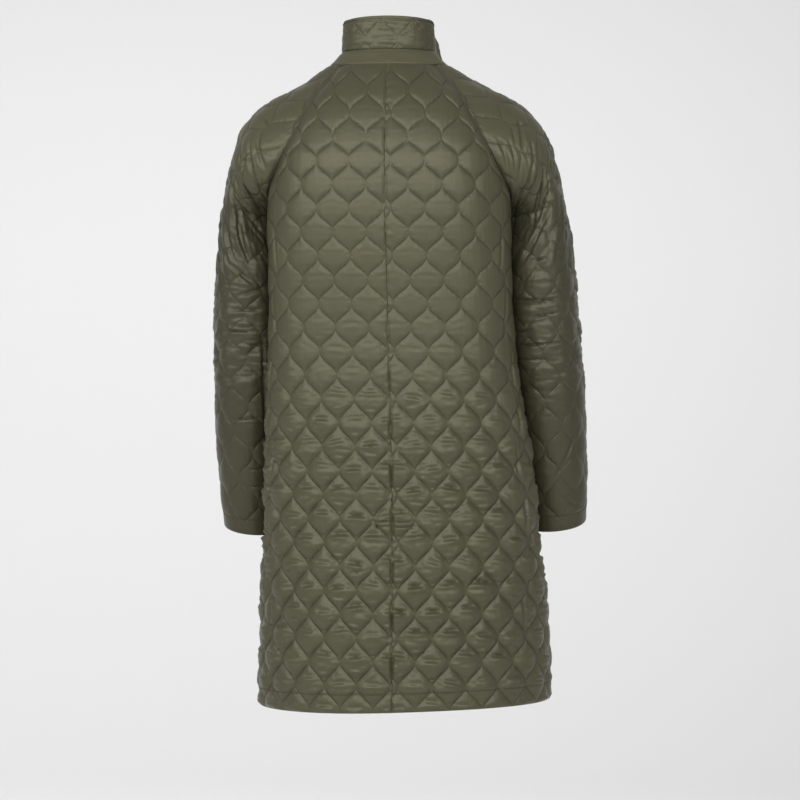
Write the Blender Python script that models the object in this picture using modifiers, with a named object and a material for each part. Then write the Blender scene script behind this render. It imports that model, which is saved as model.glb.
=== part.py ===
"""Quilted coat with raglan sleeves and a turned-up collar, in its worn, hollow shape.

Every piece of cloth is a panel: an outline in the flat, laid out along seams that it shares with
its neighbours, filled with the crossings and middles of a diamond quilting, and mapped on to the
worn form. The outer wall rises at each quilted middle; the inner wall is plain.

Metres, +Z up. The front faces -Y and +X is the wearer's left. The origin lies between the
shoulders at the height of the neck seam, where the wearer's shoulders carry the coat.
"""

import math

import bmesh
import bpy
import numpy as np
from mathutils import Vector
from mathutils.geometry import delaunay_2d_cdt

# --- Driving dimensions -----------------------------------------------------------------------
HEM = -0.980                # height of the hem at the centre back
HEM_TILT = 0.006            # the hem hangs lower on the left and higher on the right by this
UNDERARM = -0.235           # height of the underarm point
NECK_DROP = 0.072           # how far the front neck lies below the back neck
OVERLAP = 0.030             # how far each front runs past the centre front
LAP_LIFT = 0.0050           # the left front lies this far out, the right one this far in
LAP_BLEND = 0.050           # width over which a front rises or sinks to its lap
PLACKET = 0.045             # width of the flat turned front edge

WALL = 0.0024               # cloth and padding where they are stitched down
PUFF = 0.0036               # rise of a quilted middle
COLLAR_PUFF = 0.0016        # rise of a quilted middle on the collar leaf
TURNED_EDGE = 0.0014        # extra wall inside the turned hem and cuffs
HEM_DEPTH = 0.028           # hem edge to its row of stitching
CUFF_DEPTH = 0.024          # cuff edge to its row of stitching
PLACKET_BLEND = 0.010       # width over which the quilting rises beside the placket
EDGE_BLEND = 0.008          # width over which a turned edge thickens
SEAM_GAP = 0.0004           # clear space between two pieces at a seam

QUILT_WIDTH = 0.0515        # one repeat of the quilting across
QUILT_HEIGHT = 0.072        # one repeat of the quilting up and down
QUILT_START_LEFT = 0.003    # first column of crossings left of the centre seam
QUILT_START_RIGHT = 0.009   # and right of it
QUILT_ROW = -0.1495         # height of one row of crossings
QUILT_MARGIN = 0.0070       # no crossing or middle lies nearer to a seam than this
PUFF_BLEND = 0.020          # a puff nearer to a seam than this is lower
PUFF_LEAST = 0.35           # the share of its rise that it always keeps
SLEEVE_START = 0.000        # a column of crossings of the sleeves, from the overarm line
SLEEVE_ROW = 0.020          # a row of crossings of the sleeves, from the neck
LEAF_START = 0.008          # a column of crossings of the collar leaf, from its middle
LEAF_ROW = 0.012            # a row of crossings of the collar leaf, from its seam

SEAM_STEP = 0.036           # spacing of the points kept along long seams
EDGE_STEP = 0.030           # and along the front edges and underarm seams
HEM_POINTS = 15             # points kept along half a hem
NECK_POINTS = 6             # points kept along the neck seam of a back
CAP_POINTS = 15             # points kept along each raglan seam
CUFF_POINTS = 8             # points kept along half a cuff
COLLAR_STEP = 0.013         # spacing of the points kept up the ends of the collar
SEWN_IN = 0.004             # a normal at a seam is read this far inside it
SLOPE_STEP = 0.003          # step over which a slope is measured
CORNER_LIMIT = 0.35         # keeps the corners of a panel from being pulled in too far

SIDE_ANGLE = math.radians(97.0)         # where the side seam lies round the body, from the back
NECK_LEVEL = 1.2            # angle from the back up to which the neck seam is level
NECK_CURVE = 1.1            # how slowly it starts to sink from there

NECK_CENTRE = -0.010        # the neck's axis, front to back
STAND_HEIGHT = 0.028
STAND_LEAN = math.radians(31.0)
STAND_TURN = math.radians(24.0)     # beside the neck the stand leans in by this much more
STAND_TURNS = 0.145         # where it leans in most, from the centre back
STAND_EASE = 0.045          # length over which it does, and the leaf too
LEAF_HEIGHT = 0.050
LEAF_FALL = 0.008           # the leaf's top edge sinks by this much to its sides
LEAF_LEAN = math.radians(2.0)
LEAF_TURN = math.radians(10.0)      # beside the neck the leaf leans in by this much more
LEAF_TURNS = 0.155          # where it leans in most, from the centre back
LEAF_OPENING = math.radians(4.0)    # the leaf's front ends fall open by this much
LEAF_OPENS = 0.150          # where the leaf starts to fall open, from the centre back
LEAF_EASE = 0.10            # length over which it does
LEAF_POINT = 0.014          # extra height of the leaf at its front points
LEAF_PROUD = 0.0012         # the leaf overhangs the stand by this much
LEAF_SET_BACK = 0.010       # the leaf ends this far before the end of the stand

BUTTON_RADIUS = 0.0125
BUTTON_THICKNESS = 0.0042
BUTTON_SEAT = 0.0004        # its back stands this far off the left front
BUTTON_HEIGHTS = (-0.110, -0.235, -0.360, -0.485, -0.610)

CLOTH = (0.145, 0.142, 0.088)
CLOTH_ROUGHNESS = 0.55
BUTTON_COLOUR = (0.030, 0.028, 0.020)
BUTTON_ROUGHNESS = 0.35


class Table:
    """Rows of named columns, read between its rows along a smooth, shape-keeping curve."""

    def __init__(self, columns, *rows):
        self.columns = columns.split()
        self.values = np.array(rows, dtype=float)
        order = np.argsort(self.values[:, 0])
        self.values = self.values[order]

    def __call__(self, column, at):
        """Piecewise cubic: the slope at a row is the harmonic mean of its two neighbours'."""
        x = self.values[:, 0]
        y = self.values[:, self.columns.index(column)]
        steps = np.diff(x)
        slopes = np.diff(y) / steps
        tangent = np.zeros_like(y)
        same = slopes[1:] * slopes[:-1] > 0
        inner = np.zeros(len(slopes) - 1)
        inner[same] = 2.0 * slopes[1:][same] * slopes[:-1][same] / (slopes[1:] + slopes[:-1])[same]
        tangent[1:-1] = inner
        tangent[0] = slopes[0]
        tangent[-1] = slopes[-1]
        at = np.clip(np.asarray(at, dtype=float), x[0], x[-1])
        row = np.clip(np.searchsorted(x, at, side="right") - 1, 0, len(steps) - 1)
        width = steps[row]
        t = (at - x[row]) / width
        return ((2 * t**3 - 3 * t**2 + 1) * y[row] + (t**3 - 2 * t**2 + t) * width * tangent[row]
                + (3 * t**2 - 2 * t**3) * y[row + 1] + (t**3 - t**2) * width * tangent[row + 1])


# Horizontal sections of the body, from the neck to the hem. 'square' is the exponent of the
# oval, 'hollow' is how deep each arm presses in, 'shift' sways the section to the left, and
# 'sway' does so to the middle of the back alone.
BODY = Table(
    "height half_width back front square hollow_left hollow_right shift sway",
    (0.000, 0.0905, 0.070, 0.052, 2.2, 0.000, 0.000, 0.003, 0.000),
    (-0.020, 0.114, 0.084, 0.066, 2.2, 0.000, 0.000, 0.002, 0.000),
    (-0.050, 0.150, 0.102, 0.086, 2.3, 0.000, 0.000, 0.000, 0.000),
    (-0.090, 0.177, 0.118, 0.104, 2.4, 0.002, 0.002, 0.000, 0.000),
    (-0.140, 0.194, 0.130, 0.120, 2.5, 0.010, 0.008, 0.000, 0.000),
    (-0.190, 0.200, 0.134, 0.129, 2.5, 0.028, 0.024, 0.000, -0.001),
    (-0.235, 0.204, 0.135, 0.136, 2.5, 0.039, 0.033, 0.001, -0.002),
    (-0.290, 0.206, 0.134, 0.138, 2.5, 0.049, 0.039, 0.000, -0.003),
    (-0.360, 0.207, 0.133, 0.138, 2.5, 0.051, 0.040, -0.001, -0.0035),
    (-0.480, 0.214, 0.135, 0.138, 2.5, 0.054, 0.044, -0.005, -0.003),
    (-0.620, 0.2285, 0.142, 0.142, 2.4, 0.051, 0.056, -0.017, 0.0055),
    (-0.720, 0.2350, 0.147, 0.147, 2.3, 0.052, 0.066, -0.022, 0.0085),
    (-0.790, 0.2325, 0.150, 0.150, 2.2, 0.020, 0.024, -0.0215, 0.0083),
    (-0.860, 0.2245, 0.152, 0.152, 2.2, 0.005, 0.005, -0.0210, 0.0080),
    (-1.000, 0.2275, 0.155, 0.155, 2.1, 0.000, 0.000, -0.0210, 0.0078),
)
HOLLOW_MIDDLE = -0.020      # the arms press in here, front to back
HOLLOW_SPREAD = 0.068

# The raglan seams: where they lie round the body, in degrees from the centre back.
BACK_RAGLAN = Table(
    "height angle",
    (0.000, 58.0), (-0.050, 56.5), (-0.100, 58.0), (-0.140, 61.5), (-0.175, 68.0),
    (-0.205, 79.0), (UNDERARM, 97.0),
)
FRONT_RAGLAN = Table(
    "height angle",
    (0.000, 119.0), (-0.060, 121.0), (-0.120, 121.0), (-0.165, 118.0), (-0.200, 110.0),
    (UNDERARM, 97.0),
)

# The overarm line of each sleeve. Level 0 is the neck, 1 the underarm, 2 the cuff. 'reach' is the
# length of the curve handles that round a section at its overarm point, 'seam_reach' at its seam,
# 'wrap' tells how far the sleeve leaves its seam to the back or front and not to the side, 'dip'
# how much lower a section lies at its back, for its depth, and 'longer' how much lower it lies
# on the left sleeve.
OVERARM = Table(
    "level out_left out_right top middle reach seam_reach wrap dip longer",
    (0.00, 0.0945, 0.0885, 0.0010, 0.000, 0.028, 0.018, 0.2, 0.0, 0.0),
    (0.20, 0.1380, 0.1380, -0.0290, -0.001, 0.040, 0.022, 0.2, 0.0, 0.0),
    (0.40, 0.1920, 0.1920, -0.0560, -0.002, 0.052, 0.030, 0.3, 0.0, 0.0),
    (0.60, 0.2290, 0.2305, -0.0940, -0.004, 0.066, 0.038, 0.4, 0.0, 0.0),
    (0.80, 0.2465, 0.2510, -0.1450, -0.007, 0.088, 0.046, 0.5, 0.0, 0.0),
    (1.00, 0.2600, 0.2660, -0.2100, -0.010, 0.108, 0.066, 0.62, 0.0, 0.0),
    (1.20, 0.2705, 0.2795, -0.2900, -0.012, 0.110, 0.078, 0.9, 0.0, 0.0),
    (1.45, 0.2765, 0.2895, -0.4000, -0.015, 0.106, 0.082, 1.0, 0.02, 0.0015),
    (1.70, 0.2765, 0.2990, -0.5300, -0.022, 0.096, 0.078, 1.0, 0.08, 0.0040),
    (1.90, 0.2705, 0.3015, -0.6450, -0.034, 0.084, 0.070, 1.0, 0.16, 0.0065),
    (2.00, 0.2665, 0.3010, -0.7010, -0.042, 0.080, 0.066, 1.0, 0.20, 0.0080),
)
CREASE_FROM = 0.3           # level from which a sleeve turns into the crease at its armhole
CREASE_BLEND = 0.4          # and the levels that this takes
UNDERARM_BLEND = 0.15       # levels over which it leaves the underarm point
# The underarm line of each sleeve, below the armhole.
INNER_ARM = Table(
    "level width_left width_right drop",
    (1.00, 0.094, 0.100, 0.025),
    (1.20, 0.102, 0.104, 0.014),
    (1.45, 0.107, 0.109, 0.008),
    (1.70, 0.104, 0.106, 0.004),
    (1.90, 0.097, 0.099, 0.006),
    (2.00, 0.094, 0.096, 0.010),
)

# The largest drag folds of a sleeve, as soft troughs in its flat shape: from (around, along) to
# (around, along), where around runs from the overarm line to the back and along from the neck.
SLEEVE_FOLDS = Table(
    "around_1 along_1 around_2 along_2 width depth",
    (0.030, 0.215, 0.150, 0.330, 0.016, -0.0050),
    (0.020, 0.300, 0.140, 0.390, 0.015, -0.0045),
    (0.045, 0.420, 0.130, 0.455, 0.014, -0.0035),
    (0.020, 0.560, 0.110, 0.520, 0.014, -0.0035),
    (-0.110, 0.300, -0.020, 0.380, 0.016, -0.0040),
    (-0.110, 0.500, -0.020, 0.540, 0.015, -0.0035),
)
FOLD_REACH = 0.42           # a fold dies out this far from its middle, as a share of its length


def unit(vectors):
    """Vectors of length one."""
    return vectors / np.maximum(np.linalg.norm(vectors, axis=-1, keepdims=True), 1e-12)


def smoothstep(value):
    """0 below 0, 1 above 1, and an even S-curve between."""
    value = np.clip(value, 0.0, 1.0)
    return value * value * (3.0 - 2.0 * value)


# --- The body form ----------------------------------------------------------------------------
def body_point(angle, height):
    """Point of the body's base surface: an oval of given half-width and depths, pressed in by
    the arms at its sides, then shifted. The angle runs from the back to the left."""
    angle, height = np.broadcast_arrays(np.asarray(angle, float), np.asarray(height, float))
    side = np.sin(angle)
    rear = np.cos(angle)
    depth = np.where(rear > 0, BODY("back", height), BODY("front", height))
    power = BODY("square", height)
    radius = (np.abs(side / BODY("half_width", height)) ** power
              + np.abs(rear / depth) ** power) ** (-1.0 / power)
    x = radius * side
    y = radius * rear
    hollow = np.where(side > 0, BODY("hollow_left", height), BODY("hollow_right", height))
    pressed = hollow * np.exp(-((y - HOLLOW_MIDDLE) / HOLLOW_SPREAD) ** 2) * side**2
    x = x - np.sign(side) * pressed + BODY("shift", height)
    x = x + BODY("sway", height) * np.maximum(rear, 0.0) ** 2
    return np.stack([x, y, height], axis=-1)


def body_normal(angle, height):
    """Outward normal of the body's base surface, from its two slopes."""
    across = body_point(angle + SLOPE_STEP, height) - body_point(angle - SLOPE_STEP, height)
    down = body_point(angle, height - SLOPE_STEP) - body_point(angle, height + SLOPE_STEP)
    return unit(np.cross(across, down))


def body_angle(distance, height, start, way):
    """Angle of the point that lies a distance round the body from the angle 'start'."""
    sweep = np.linspace(-0.5, math.pi + 0.5, 241)
    angles = start + way * sweep
    result = np.empty(len(distance))
    for level in np.unique(height):
        here = height == level
        ring = body_point(angles, level)
        length = np.concatenate([[0.0], np.cumsum(np.linalg.norm(np.diff(ring, axis=0), axis=1))])
        length = length - np.interp(0.0, sweep, length)
        result[here] = np.interp(distance[here], length, angles)
    return result


def body_distance(angle, height, start, way):
    """Distance round the body from the angle 'start' to each angle."""
    sweep = np.linspace(-0.5, math.pi + 0.5, 241)
    result = np.empty(len(angle))
    for index, (one, level) in enumerate(zip(angle, height)):
        ring = body_point(start + way * sweep, level)
        length = np.concatenate([[0.0], np.cumsum(np.linalg.norm(np.diff(ring, axis=0), axis=1))])
        length = length - np.interp(0.0, sweep, length)
        result[index] = np.interp((one - start) * way, sweep, length)
    return result


def neck_height(angle):
    """Height of the neck seam: level at the back, sinking in an S-curve to the front."""
    forward = (np.abs(angle) - NECK_LEVEL) / (math.pi - NECK_LEVEL)
    return -NECK_DROP * smoothstep(forward) ** NECK_CURVE


def hem_height(angle):
    """Height of the hem: it tilts a little from side to side."""
    return HEM - HEM_TILT * np.sin(angle)


def lap(distance, side):
    """How far a front lies out (left) or in (right), by its distance from the centre front."""
    return side * LAP_LIFT * smoothstep((LAP_BLEND - distance) / (LAP_BLEND - OVERLAP * 0.5))


# --- Seams ------------------------------------------------------------------------------------
class Line:
    """Points of a seam or free edge with their normals. 'flat' is its place in a panel's flat
    shape, 'angle' and 'height' its place on the body."""

    def __init__(self, points, normals, flat=None, angle=None, height=None):
        self.points = np.array(points, float)
        self.normals = np.array(normals, float)
        self.flat = flat
        self.angle = angle
        self.height = height

    def laid(self, flat):
        """The same seam in the flat shape of another panel."""
        return Line(self.points, self.normals, flat, self.angle, self.height)

    def back(self):
        """The same line, run from its end to its start."""
        turned = [None if values is None else values[::-1]
                  for values in (self.points, self.normals, self.flat, self.angle, self.height)]
        return Line(*turned)


def body_line(angle, height):
    """A line on the body's base surface."""
    angle, height = np.broadcast_arrays(np.asarray(angle, float), np.asarray(height, float))
    return Line(body_point(angle, height), body_normal(angle, height), None, angle, height)


def raglan(table, way):
    """A raglan seam from the neck to the underarm, with even steps along it."""
    start = 0.0
    for _ in range(20):
        start = float(neck_height(np.radians(table("angle", start))))
    height = np.linspace(start, UNDERARM, 300)
    angle = way * np.radians(table("angle", height))
    path = body_point(angle, height)
    length = np.concatenate([[0.0], np.cumsum(np.linalg.norm(np.diff(path, axis=0), axis=1))])
    place = np.linspace(0.0, length[-1], CAP_POINTS)
    return body_line(np.interp(place, length, angle), np.interp(place, length, height))


# --- The sleeve form --------------------------------------------------------------------------
class Sleeve:
    """A raglan sleeve: level sections, each of two curves from the overarm line, one round the
    back and one round the front, to the raglan seams above and the underarm line below."""

    AROUND = 33             # points kept along each half section
    LEVELS = 241            # sections kept along the sleeve

    def __init__(self, side, back_seam, front_seam):
        self.side = side
        self.hand = "left" if side > 0 else "right"
        self.level = np.linspace(0.0, 2.0, self.LEVELS)
        steps = np.linalg.norm(np.diff(self.overarm(self.level), axis=0), axis=1)
        self.along = np.concatenate([[0.0], np.cumsum(steps)])
        self.halves = {1: self.sections(back_seam, 1), -1: self.sections(front_seam, -1)}
        self.length = {way: self.arc(half)[:, -1] for way, half in self.halves.items()}

    def overarm(self, level):
        """Points of the overarm line."""
        top = OVERARM("top", level)
        if self.side > 0:
            top = top - OVERARM("longer", level)
        out = self.side * OVERARM("out_" + self.hand, level)
        return np.stack([out, OVERARM("middle", level), top], axis=-1)

    def underarm(self, level):
        """Points of the underarm line, for levels below the armhole."""
        over = self.overarm(level)
        inner = over.copy()
        inner[..., 0] -= self.side * INNER_ARM("width_" + self.hand, level)
        inner[..., 2] -= INNER_ARM("drop", level)
        return inner

    def sections(self, seam, way):
        """Half sections as cubic curves: out along Y from the overarm point, and in to the seam
        or the underarm point along a direction that turns from sideways to front and back."""
        level = self.level
        over = self.overarm(level)
        dip = OVERARM("dip", level)
        along_y = way * np.stack([0.0 * dip, 0.0 * dip + 1.0, -dip], axis=-1)
        place = np.clip(level, 0.0, 1.0) * (len(seam.points) - 1)
        knots = np.arange(len(seam.points))
        end = np.stack([np.interp(place, knots, seam.points[:, i]) for i in range(3)], axis=-1)
        tangent = np.gradient(seam.points, axis=0)
        outward = unit(np.cross(tangent, seam.normals))
        outward = outward * np.sign(outward[:, :1] * self.side + 1e-9)
        leave = np.stack([np.interp(place, knots, outward[:, i]) for i in range(3)], axis=-1)
        wrap = OVERARM("wrap", level)[:, None]
        crease = np.array([float(self.side), 0.0, 0.0]) * (1.0 - wrap) + along_y * wrap
        turned = smoothstep((level[:, None] - CREASE_FROM) / CREASE_BLEND)
        leave = unit(leave + (unit(crease) - leave) * turned)
        below = smoothstep((level - 1.0) / UNDERARM_BLEND)[:, None]
        end = np.where(level[:, None] > 1.0, self.below_seam(level, seam.points[-1], below), end)
        reach = OVERARM("reach", level)[:, None]
        seam_reach = OVERARM("seam_reach", level)[:, None]
        handles = [over, over + along_y * reach, end + leave * seam_reach, end]
        t = np.linspace(0.0, 1.0, self.AROUND)[None, :, None]
        weights = [(1 - t) ** 3, 3 * t * (1 - t) ** 2, 3 * t**2 * (1 - t), t**3]
        return sum(w * h[:, None, :] for w, h in zip(weights, handles))

    def below_seam(self, level, underarm_point, below):
        """The underarm line, eased in from the point where the seams meet."""
        start = self.underarm(np.array([1.0]))[0]
        return self.underarm(np.maximum(level, 1.0)) + (underarm_point - start) * (1.0 - below)

    @staticmethod
    def arc(half):
        """Distance along each half section from the overarm line."""
        steps = np.linalg.norm(np.diff(half, axis=1), axis=2)
        return np.concatenate([np.zeros((len(half), 1)), np.cumsum(steps, axis=1)], axis=1)

    def base(self, around, along):
        """Point of the base surface, by its distance round from the overarm line (to the back if
        positive) and its distance along from the neck."""
        around, along = np.broadcast_arrays(np.asarray(around, float), np.asarray(along, float))
        place = np.interp(along, self.along, np.arange(self.LEVELS))
        low = np.clip(place.astype(int), 0, self.LEVELS - 2)
        part = place - low
        result = np.empty(around.shape + (3,))
        for index in np.ndindex(around.shape):
            half = self.halves[1 if around[index] >= 0 else -1]
            row = low[index]
            curve = half[row] * (1 - part[index]) + half[row + 1] * part[index]
            steps = np.linalg.norm(np.diff(curve, axis=0), axis=1)
            arc = np.concatenate([[0.0], np.cumsum(steps)])
            where = abs(around[index])
            for axis in range(3):
                result[index + (axis,)] = np.interp(where, arc, curve[:, axis])
        return result

    def normal(self, around, along):
        """Outward normal of the base surface, from its two slopes."""
        step = SLOPE_STEP
        across = self.base(around + step, along) - self.base(around - step, along)
        down = self.base(around, along + step) - self.base(around, along - step)
        return unit(np.cross(down, across)) * self.side

    def half_length(self, along, way):
        """Distance from the overarm line to the seam, at the back (1) or the front (-1)."""
        return np.interp(along, self.along, self.length[way])

    def surface(self, flat):
        """Base points and normals, with the drag folds pressed in."""
        normals = self.normal(flat[:, 0], flat[:, 1])
        depth = folds(flat, SLEEVE_FOLDS)
        return self.base(flat[:, 0], flat[:, 1]) + normals * depth[:, None], normals


def folds(flat, table):
    """Depth of soft troughs: each one is deepest on its line and dies out at its ends."""
    total = np.zeros(len(flat))
    for x1, y1, x2, y2, width, depth in table.values:
        start = np.array([x1, y1])
        run = np.array([x2 - x1, y2 - y1])
        length = np.linalg.norm(run)
        along = (flat - start) @ run / length**2
        away = (flat - start) @ np.array([-run[1], run[0]]) / length
        ends = np.exp(-((along - 0.5) / FOLD_REACH) ** 4)
        total += depth * np.exp(-(away / width) ** 2) * ends
    return total


# --- Panels -----------------------------------------------------------------------------------
def inside(points, outline):
    """Which points lie inside a closed outline, by counting the edges that a ray crosses."""
    x, y = points[:, 0][:, None], points[:, 1][:, None]
    x1, y1 = outline[:, 0], outline[:, 1]
    x2, y2 = np.roll(x1, -1), np.roll(y1, -1)
    spans = (y1 > y) != (y2 > y)
    rise = np.where(y2 == y1, 1.0, y2 - y1)
    crossing = x1 + (y - y1) * (x2 - x1) / rise
    return (spans & (x < crossing)).sum(axis=1) % 2 == 1


def distance_to(points, path, closed=True):
    """Distance from each point to the nearest place on a path."""
    start = path if closed else path[:-1]
    run = (np.roll(path, -1, axis=0) if closed else path[1:]) - start
    offset = points[:, None, :] - start[None, :, :]
    part = np.clip((offset * run).sum(2) / np.maximum((run * run).sum(1), 1e-12), 0.0, 1.0)
    return np.linalg.norm(offset - part[..., None] * run, axis=2).min(axis=1)


def quilting(outline, start, row, grooves):
    """Crossings (low) and middles (high) of the quilting inside an outline, and the stitch lines
    that join neighbouring crossings on one side of every groove."""
    half_width = QUILT_WIDTH / 2
    half_height = QUILT_HEIGHT / 2
    low_corner = outline.min(axis=0)
    high_corner = outline.max(axis=0)
    first = math.floor((low_corner[0] - start) / half_width)
    last = math.ceil((high_corner[0] - start) / half_width)
    bottom = math.floor((low_corner[1] - row) / half_height)
    top = math.ceil((high_corner[1] - row) / half_height)
    grid = np.array([(k, j) for j in range(bottom, top + 1) for k in range(first, last + 1)])
    places = np.stack([start + grid[:, 0] * half_width, row + grid[:, 1] * half_height], axis=-1)
    keep = inside(places, outline) & (distance_to(places, outline) > QUILT_MARGIN)
    for groove in grooves:
        keep &= distance_to(places, groove, closed=False) > QUILT_MARGIN
    grid = grid[keep]
    places = places[keep]
    high = grid.sum(axis=1) % 2 == 1
    index = {tuple(cell): i for i, cell in enumerate(grid)}
    beyond = [places[:, 1] > np.interp(places[:, 0], *groove.T) for groove in grooves]
    lines = []
    for (k, j), i in index.items():
        for step in (-1, 1):
            other = index.get((k + step, j + 1))
            if (k + j) % 2 == 1 or other is None:
                continue
            if all(past[i] == past[other] for past in beyond):
                lines.append((i, other))
    return places, high, lines


def handedness(flat, surface):
    """1 if the outline runs anticlockwise as seen from outside the cloth, else -1."""
    middle = flat.mean(axis=0)
    corners, normals = surface(middle + np.array([[0.0, 0.0], [0.004, 0.0], [0.0, 0.004]]))
    facing = np.cross(corners[1] - corners[0], corners[2] - corners[0]) @ normals[0]
    x, y = flat[:, 0], flat[:, 1]
    area = (x * np.roll(y, -1) - np.roll(x, -1) * y).sum()
    return np.sign(facing * area)


def sewn_edge(points, normals, turn, gap):
    """An outline pulled in from its seams by half a gap, square to both edges at each corner."""
    ahead = unit(np.roll(points, -1, axis=0) - points)
    before = np.roll(ahead, 1, axis=0)
    inward_ahead = unit(np.cross(normals, ahead)) * turn
    inward_before = unit(np.cross(normals, before)) * turn
    spread = 1.0 + (inward_ahead * inward_before).sum(axis=1, keepdims=True)
    return points + (inward_ahead + inward_before) * gap / np.maximum(spread, CORNER_LIMIT)


def join_lines(lines):
    """One closed outline from lines that run head to tail."""
    points = np.concatenate([line.points[:-1] for line in lines])
    normals = unit(np.concatenate([line.normals[:-1] for line in lines]))
    flat = np.concatenate([line.flat[:-1] for line in lines])
    return points, normals, flat


def panel(name, lines, surface, quilt, puff, wall, grooves=()):
    """A quilted wall of cloth. The outline and the quilting are joined into triangles in the
    flat, with the stitch lines as edges, and the rim closes the outer wall to the inner one."""
    points, normals, flat = join_lines(lines)
    edge_count = len(points)
    points = sewn_edge(points, normals, handedness(flat, surface), SEAM_GAP / 2)
    if quilt:
        places, high, stitch = quilting(flat, *quilt, grooves)
        near = distance_to(places, flat)
        share = np.clip(near / PUFF_BLEND, PUFF_LEAST, 1.0)
        rise = np.where(high, puff(places) * share, 0.0)
    else:
        places, rise, stitch = np.empty((0, 2)), np.empty(0), []
    constraints = [(edge_count + a, edge_count + b) for a, b in stitch]
    for groove in grooves:
        first = edge_count + len(places)
        places = np.concatenate([places, groove])
        rise = np.concatenate([rise, np.zeros(len(groove))])
        constraints += [(first + i, first + i + 1) for i in range(len(groove) - 1)]
    base, tilt = surface(places)
    base = np.concatenate([points, base])
    tilt = np.concatenate([normals, tilt])
    rise = np.concatenate([np.zeros(edge_count), rise])
    plane = np.concatenate([flat, places])
    found = delaunay_2d_cdt([Vector(p) for p in plane], constraints,
                            [list(range(edge_count))], 1, 1e-7)
    if len(found[0]) != len(plane):
        raise ValueError(name + ": an outline or a stitch line crosses another")
    triangles = [[found[3][corner][0] for corner in face] for face in found[2]]
    outer = base + tilt * rise[:, None]
    inner = base - tilt * wall(plane)[:, None]
    return closed_wall(name, outer, inner, triangles, edge_count)


def closed_wall(name, outer, inner, triangles, edge_count):
    """A closed mesh of an outer wall, an inner wall with the same faces turned, and a rim."""
    shell = bmesh.new()
    top = [shell.verts.new(p) for p in outer]
    under = [shell.verts.new(p) for p in inner]
    for a, b, c in triangles:
        shell.faces.new((top[a], top[b], top[c]))
        shell.faces.new((under[a], under[c], under[b]))
    for i in range(edge_count):
        j = (i + 1) % edge_count
        shell.faces.new((top[i], under[i], under[j], top[j]))
    bmesh.ops.recalc_face_normals(shell, faces=shell.faces)
    mesh = bpy.data.meshes.new(name)
    shell.to_mesh(mesh)
    shell.free()
    return bpy.data.objects.new(name, mesh)


def even(start, end, spacing):
    """Evenly spaced values from start to end, about 'spacing' apart."""
    return np.linspace(start, end, max(2, round(abs(end - start) / spacing) + 1))


def no_quilting_near(edge, width):
    """A puff height that is nothing in a strip along a front edge."""
    def puff(flat):
        return PUFF * smoothstep((flat[:, 0] - edge - width) / PLACKET_BLEND)
    return puff


# --- The coat ---------------------------------------------------------------------------------
def hem_wall(flat):
    """Wall thickness of the body: more within the turned hem."""
    turned = HEM + HEM_TILT + HEM_DEPTH - flat[:, 1]
    return WALL + TURNED_EDGE * smoothstep(turned / EDGE_BLEND)


def body_panel(name, side, seams, front):
    """A back or front panel. Its flat is the distance round from the centre line and the height."""
    way = side if not front else -side
    centre = 0.0 if not front else side * math.pi

    def flatten(line):
        distance = body_distance(line.angle, line.height, centre, way)
        return line.laid(np.stack([distance, line.height], axis=-1))

    def surface(flat):
        angle = body_angle(flat[:, 0], flat[:, 1], centre, way)
        normals = body_normal(angle, flat[:, 1])
        points = body_point(angle, flat[:, 1])
        if front:
            points = points + normals * lap(flat[:, 0], side)[:, None]
        return points, normals

    lines = [flatten(line) for line in seams]
    edge = -OVERLAP if front else 0.0
    groove_end = body_distance(np.array([side * SIDE_ANGLE]), np.array([HEM + HEM_DEPTH]), centre,
                               way)[0] - QUILT_MARGIN
    groove_x = even(edge + QUILT_MARGIN, groove_end, QUILT_WIDTH / 2)
    level = np.full_like(groove_x, HEM + HEM_DEPTH)
    level += hem_height(body_angle(groove_x, level, centre, way)) - HEM
    groove = np.stack([groove_x, level], axis=-1)
    if front:
        puff = no_quilting_near(edge, PLACKET)
    else:
        def puff(flat):
            return np.full(len(flat), PUFF)
    start = QUILT_START_LEFT if side > 0 else QUILT_START_RIGHT
    return panel(name, lines, surface, (start, QUILT_ROW), puff, hem_wall, (groove,))


def body_seams(side):
    """The seams of one half of the body, as lines on its base surface."""
    seams = {}
    seams["raglan_back"] = raglan(BACK_RAGLAN, side)
    seams["raglan_front"] = raglan(FRONT_RAGLAN, side)
    side_hem = float(hem_height(side * SIDE_ANGLE))
    seams["side"] = body_line(side * SIDE_ANGLE, even(UNDERARM, side_hem, SEAM_STEP))
    seams["centre_back"] = body_line(0.0, even(HEM, 0.0, SEAM_STEP))
    back_neck = np.linspace(0.0, seams["raglan_back"].angle[0], NECK_POINTS)
    seams["neck_back"] = body_line(back_neck, neck_height(back_neck))
    hem_back = side * np.linspace(SIDE_ANGLE, 0.0, HEM_POINTS)
    seams["hem_back"] = body_line(hem_back, hem_height(hem_back))
    edge_height = even(float(neck_height(math.pi)), HEM, EDGE_STEP)
    distance = np.full_like(edge_height, -OVERLAP)
    edge_angle = body_angle(distance, edge_height, side * math.pi, -side)
    seams["front_edge"] = body_line(edge_angle, edge_height)
    neck_end = edge_angle[0]
    neck_front = np.linspace(seams["raglan_front"].angle[0], side * math.pi, NECK_POINTS + 2)
    seams["neck_front"] = body_line(neck_front, neck_height(neck_front))
    past = np.array([side * math.pi, (side * math.pi + neck_end) / 2, neck_end])
    seams["neck_lap"] = body_line(past, neck_height(math.pi))
    hem_front = np.concatenate([side * np.linspace(SIDE_ANGLE, math.pi, HEM_POINTS - 2),
                                [(side * math.pi + edge_angle[-1]) / 2, edge_angle[-1]]])
    seams["hem_front"] = body_line(hem_front, hem_height(hem_front))
    for name in ("neck_front", "neck_lap", "front_edge", "hem_front"):
        line = seams[name]
        distance = body_distance(line.angle, line.height, side * math.pi, -side)
        line.points = line.points + line.normals * lap(distance, side)[:, None]
    return seams


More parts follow.
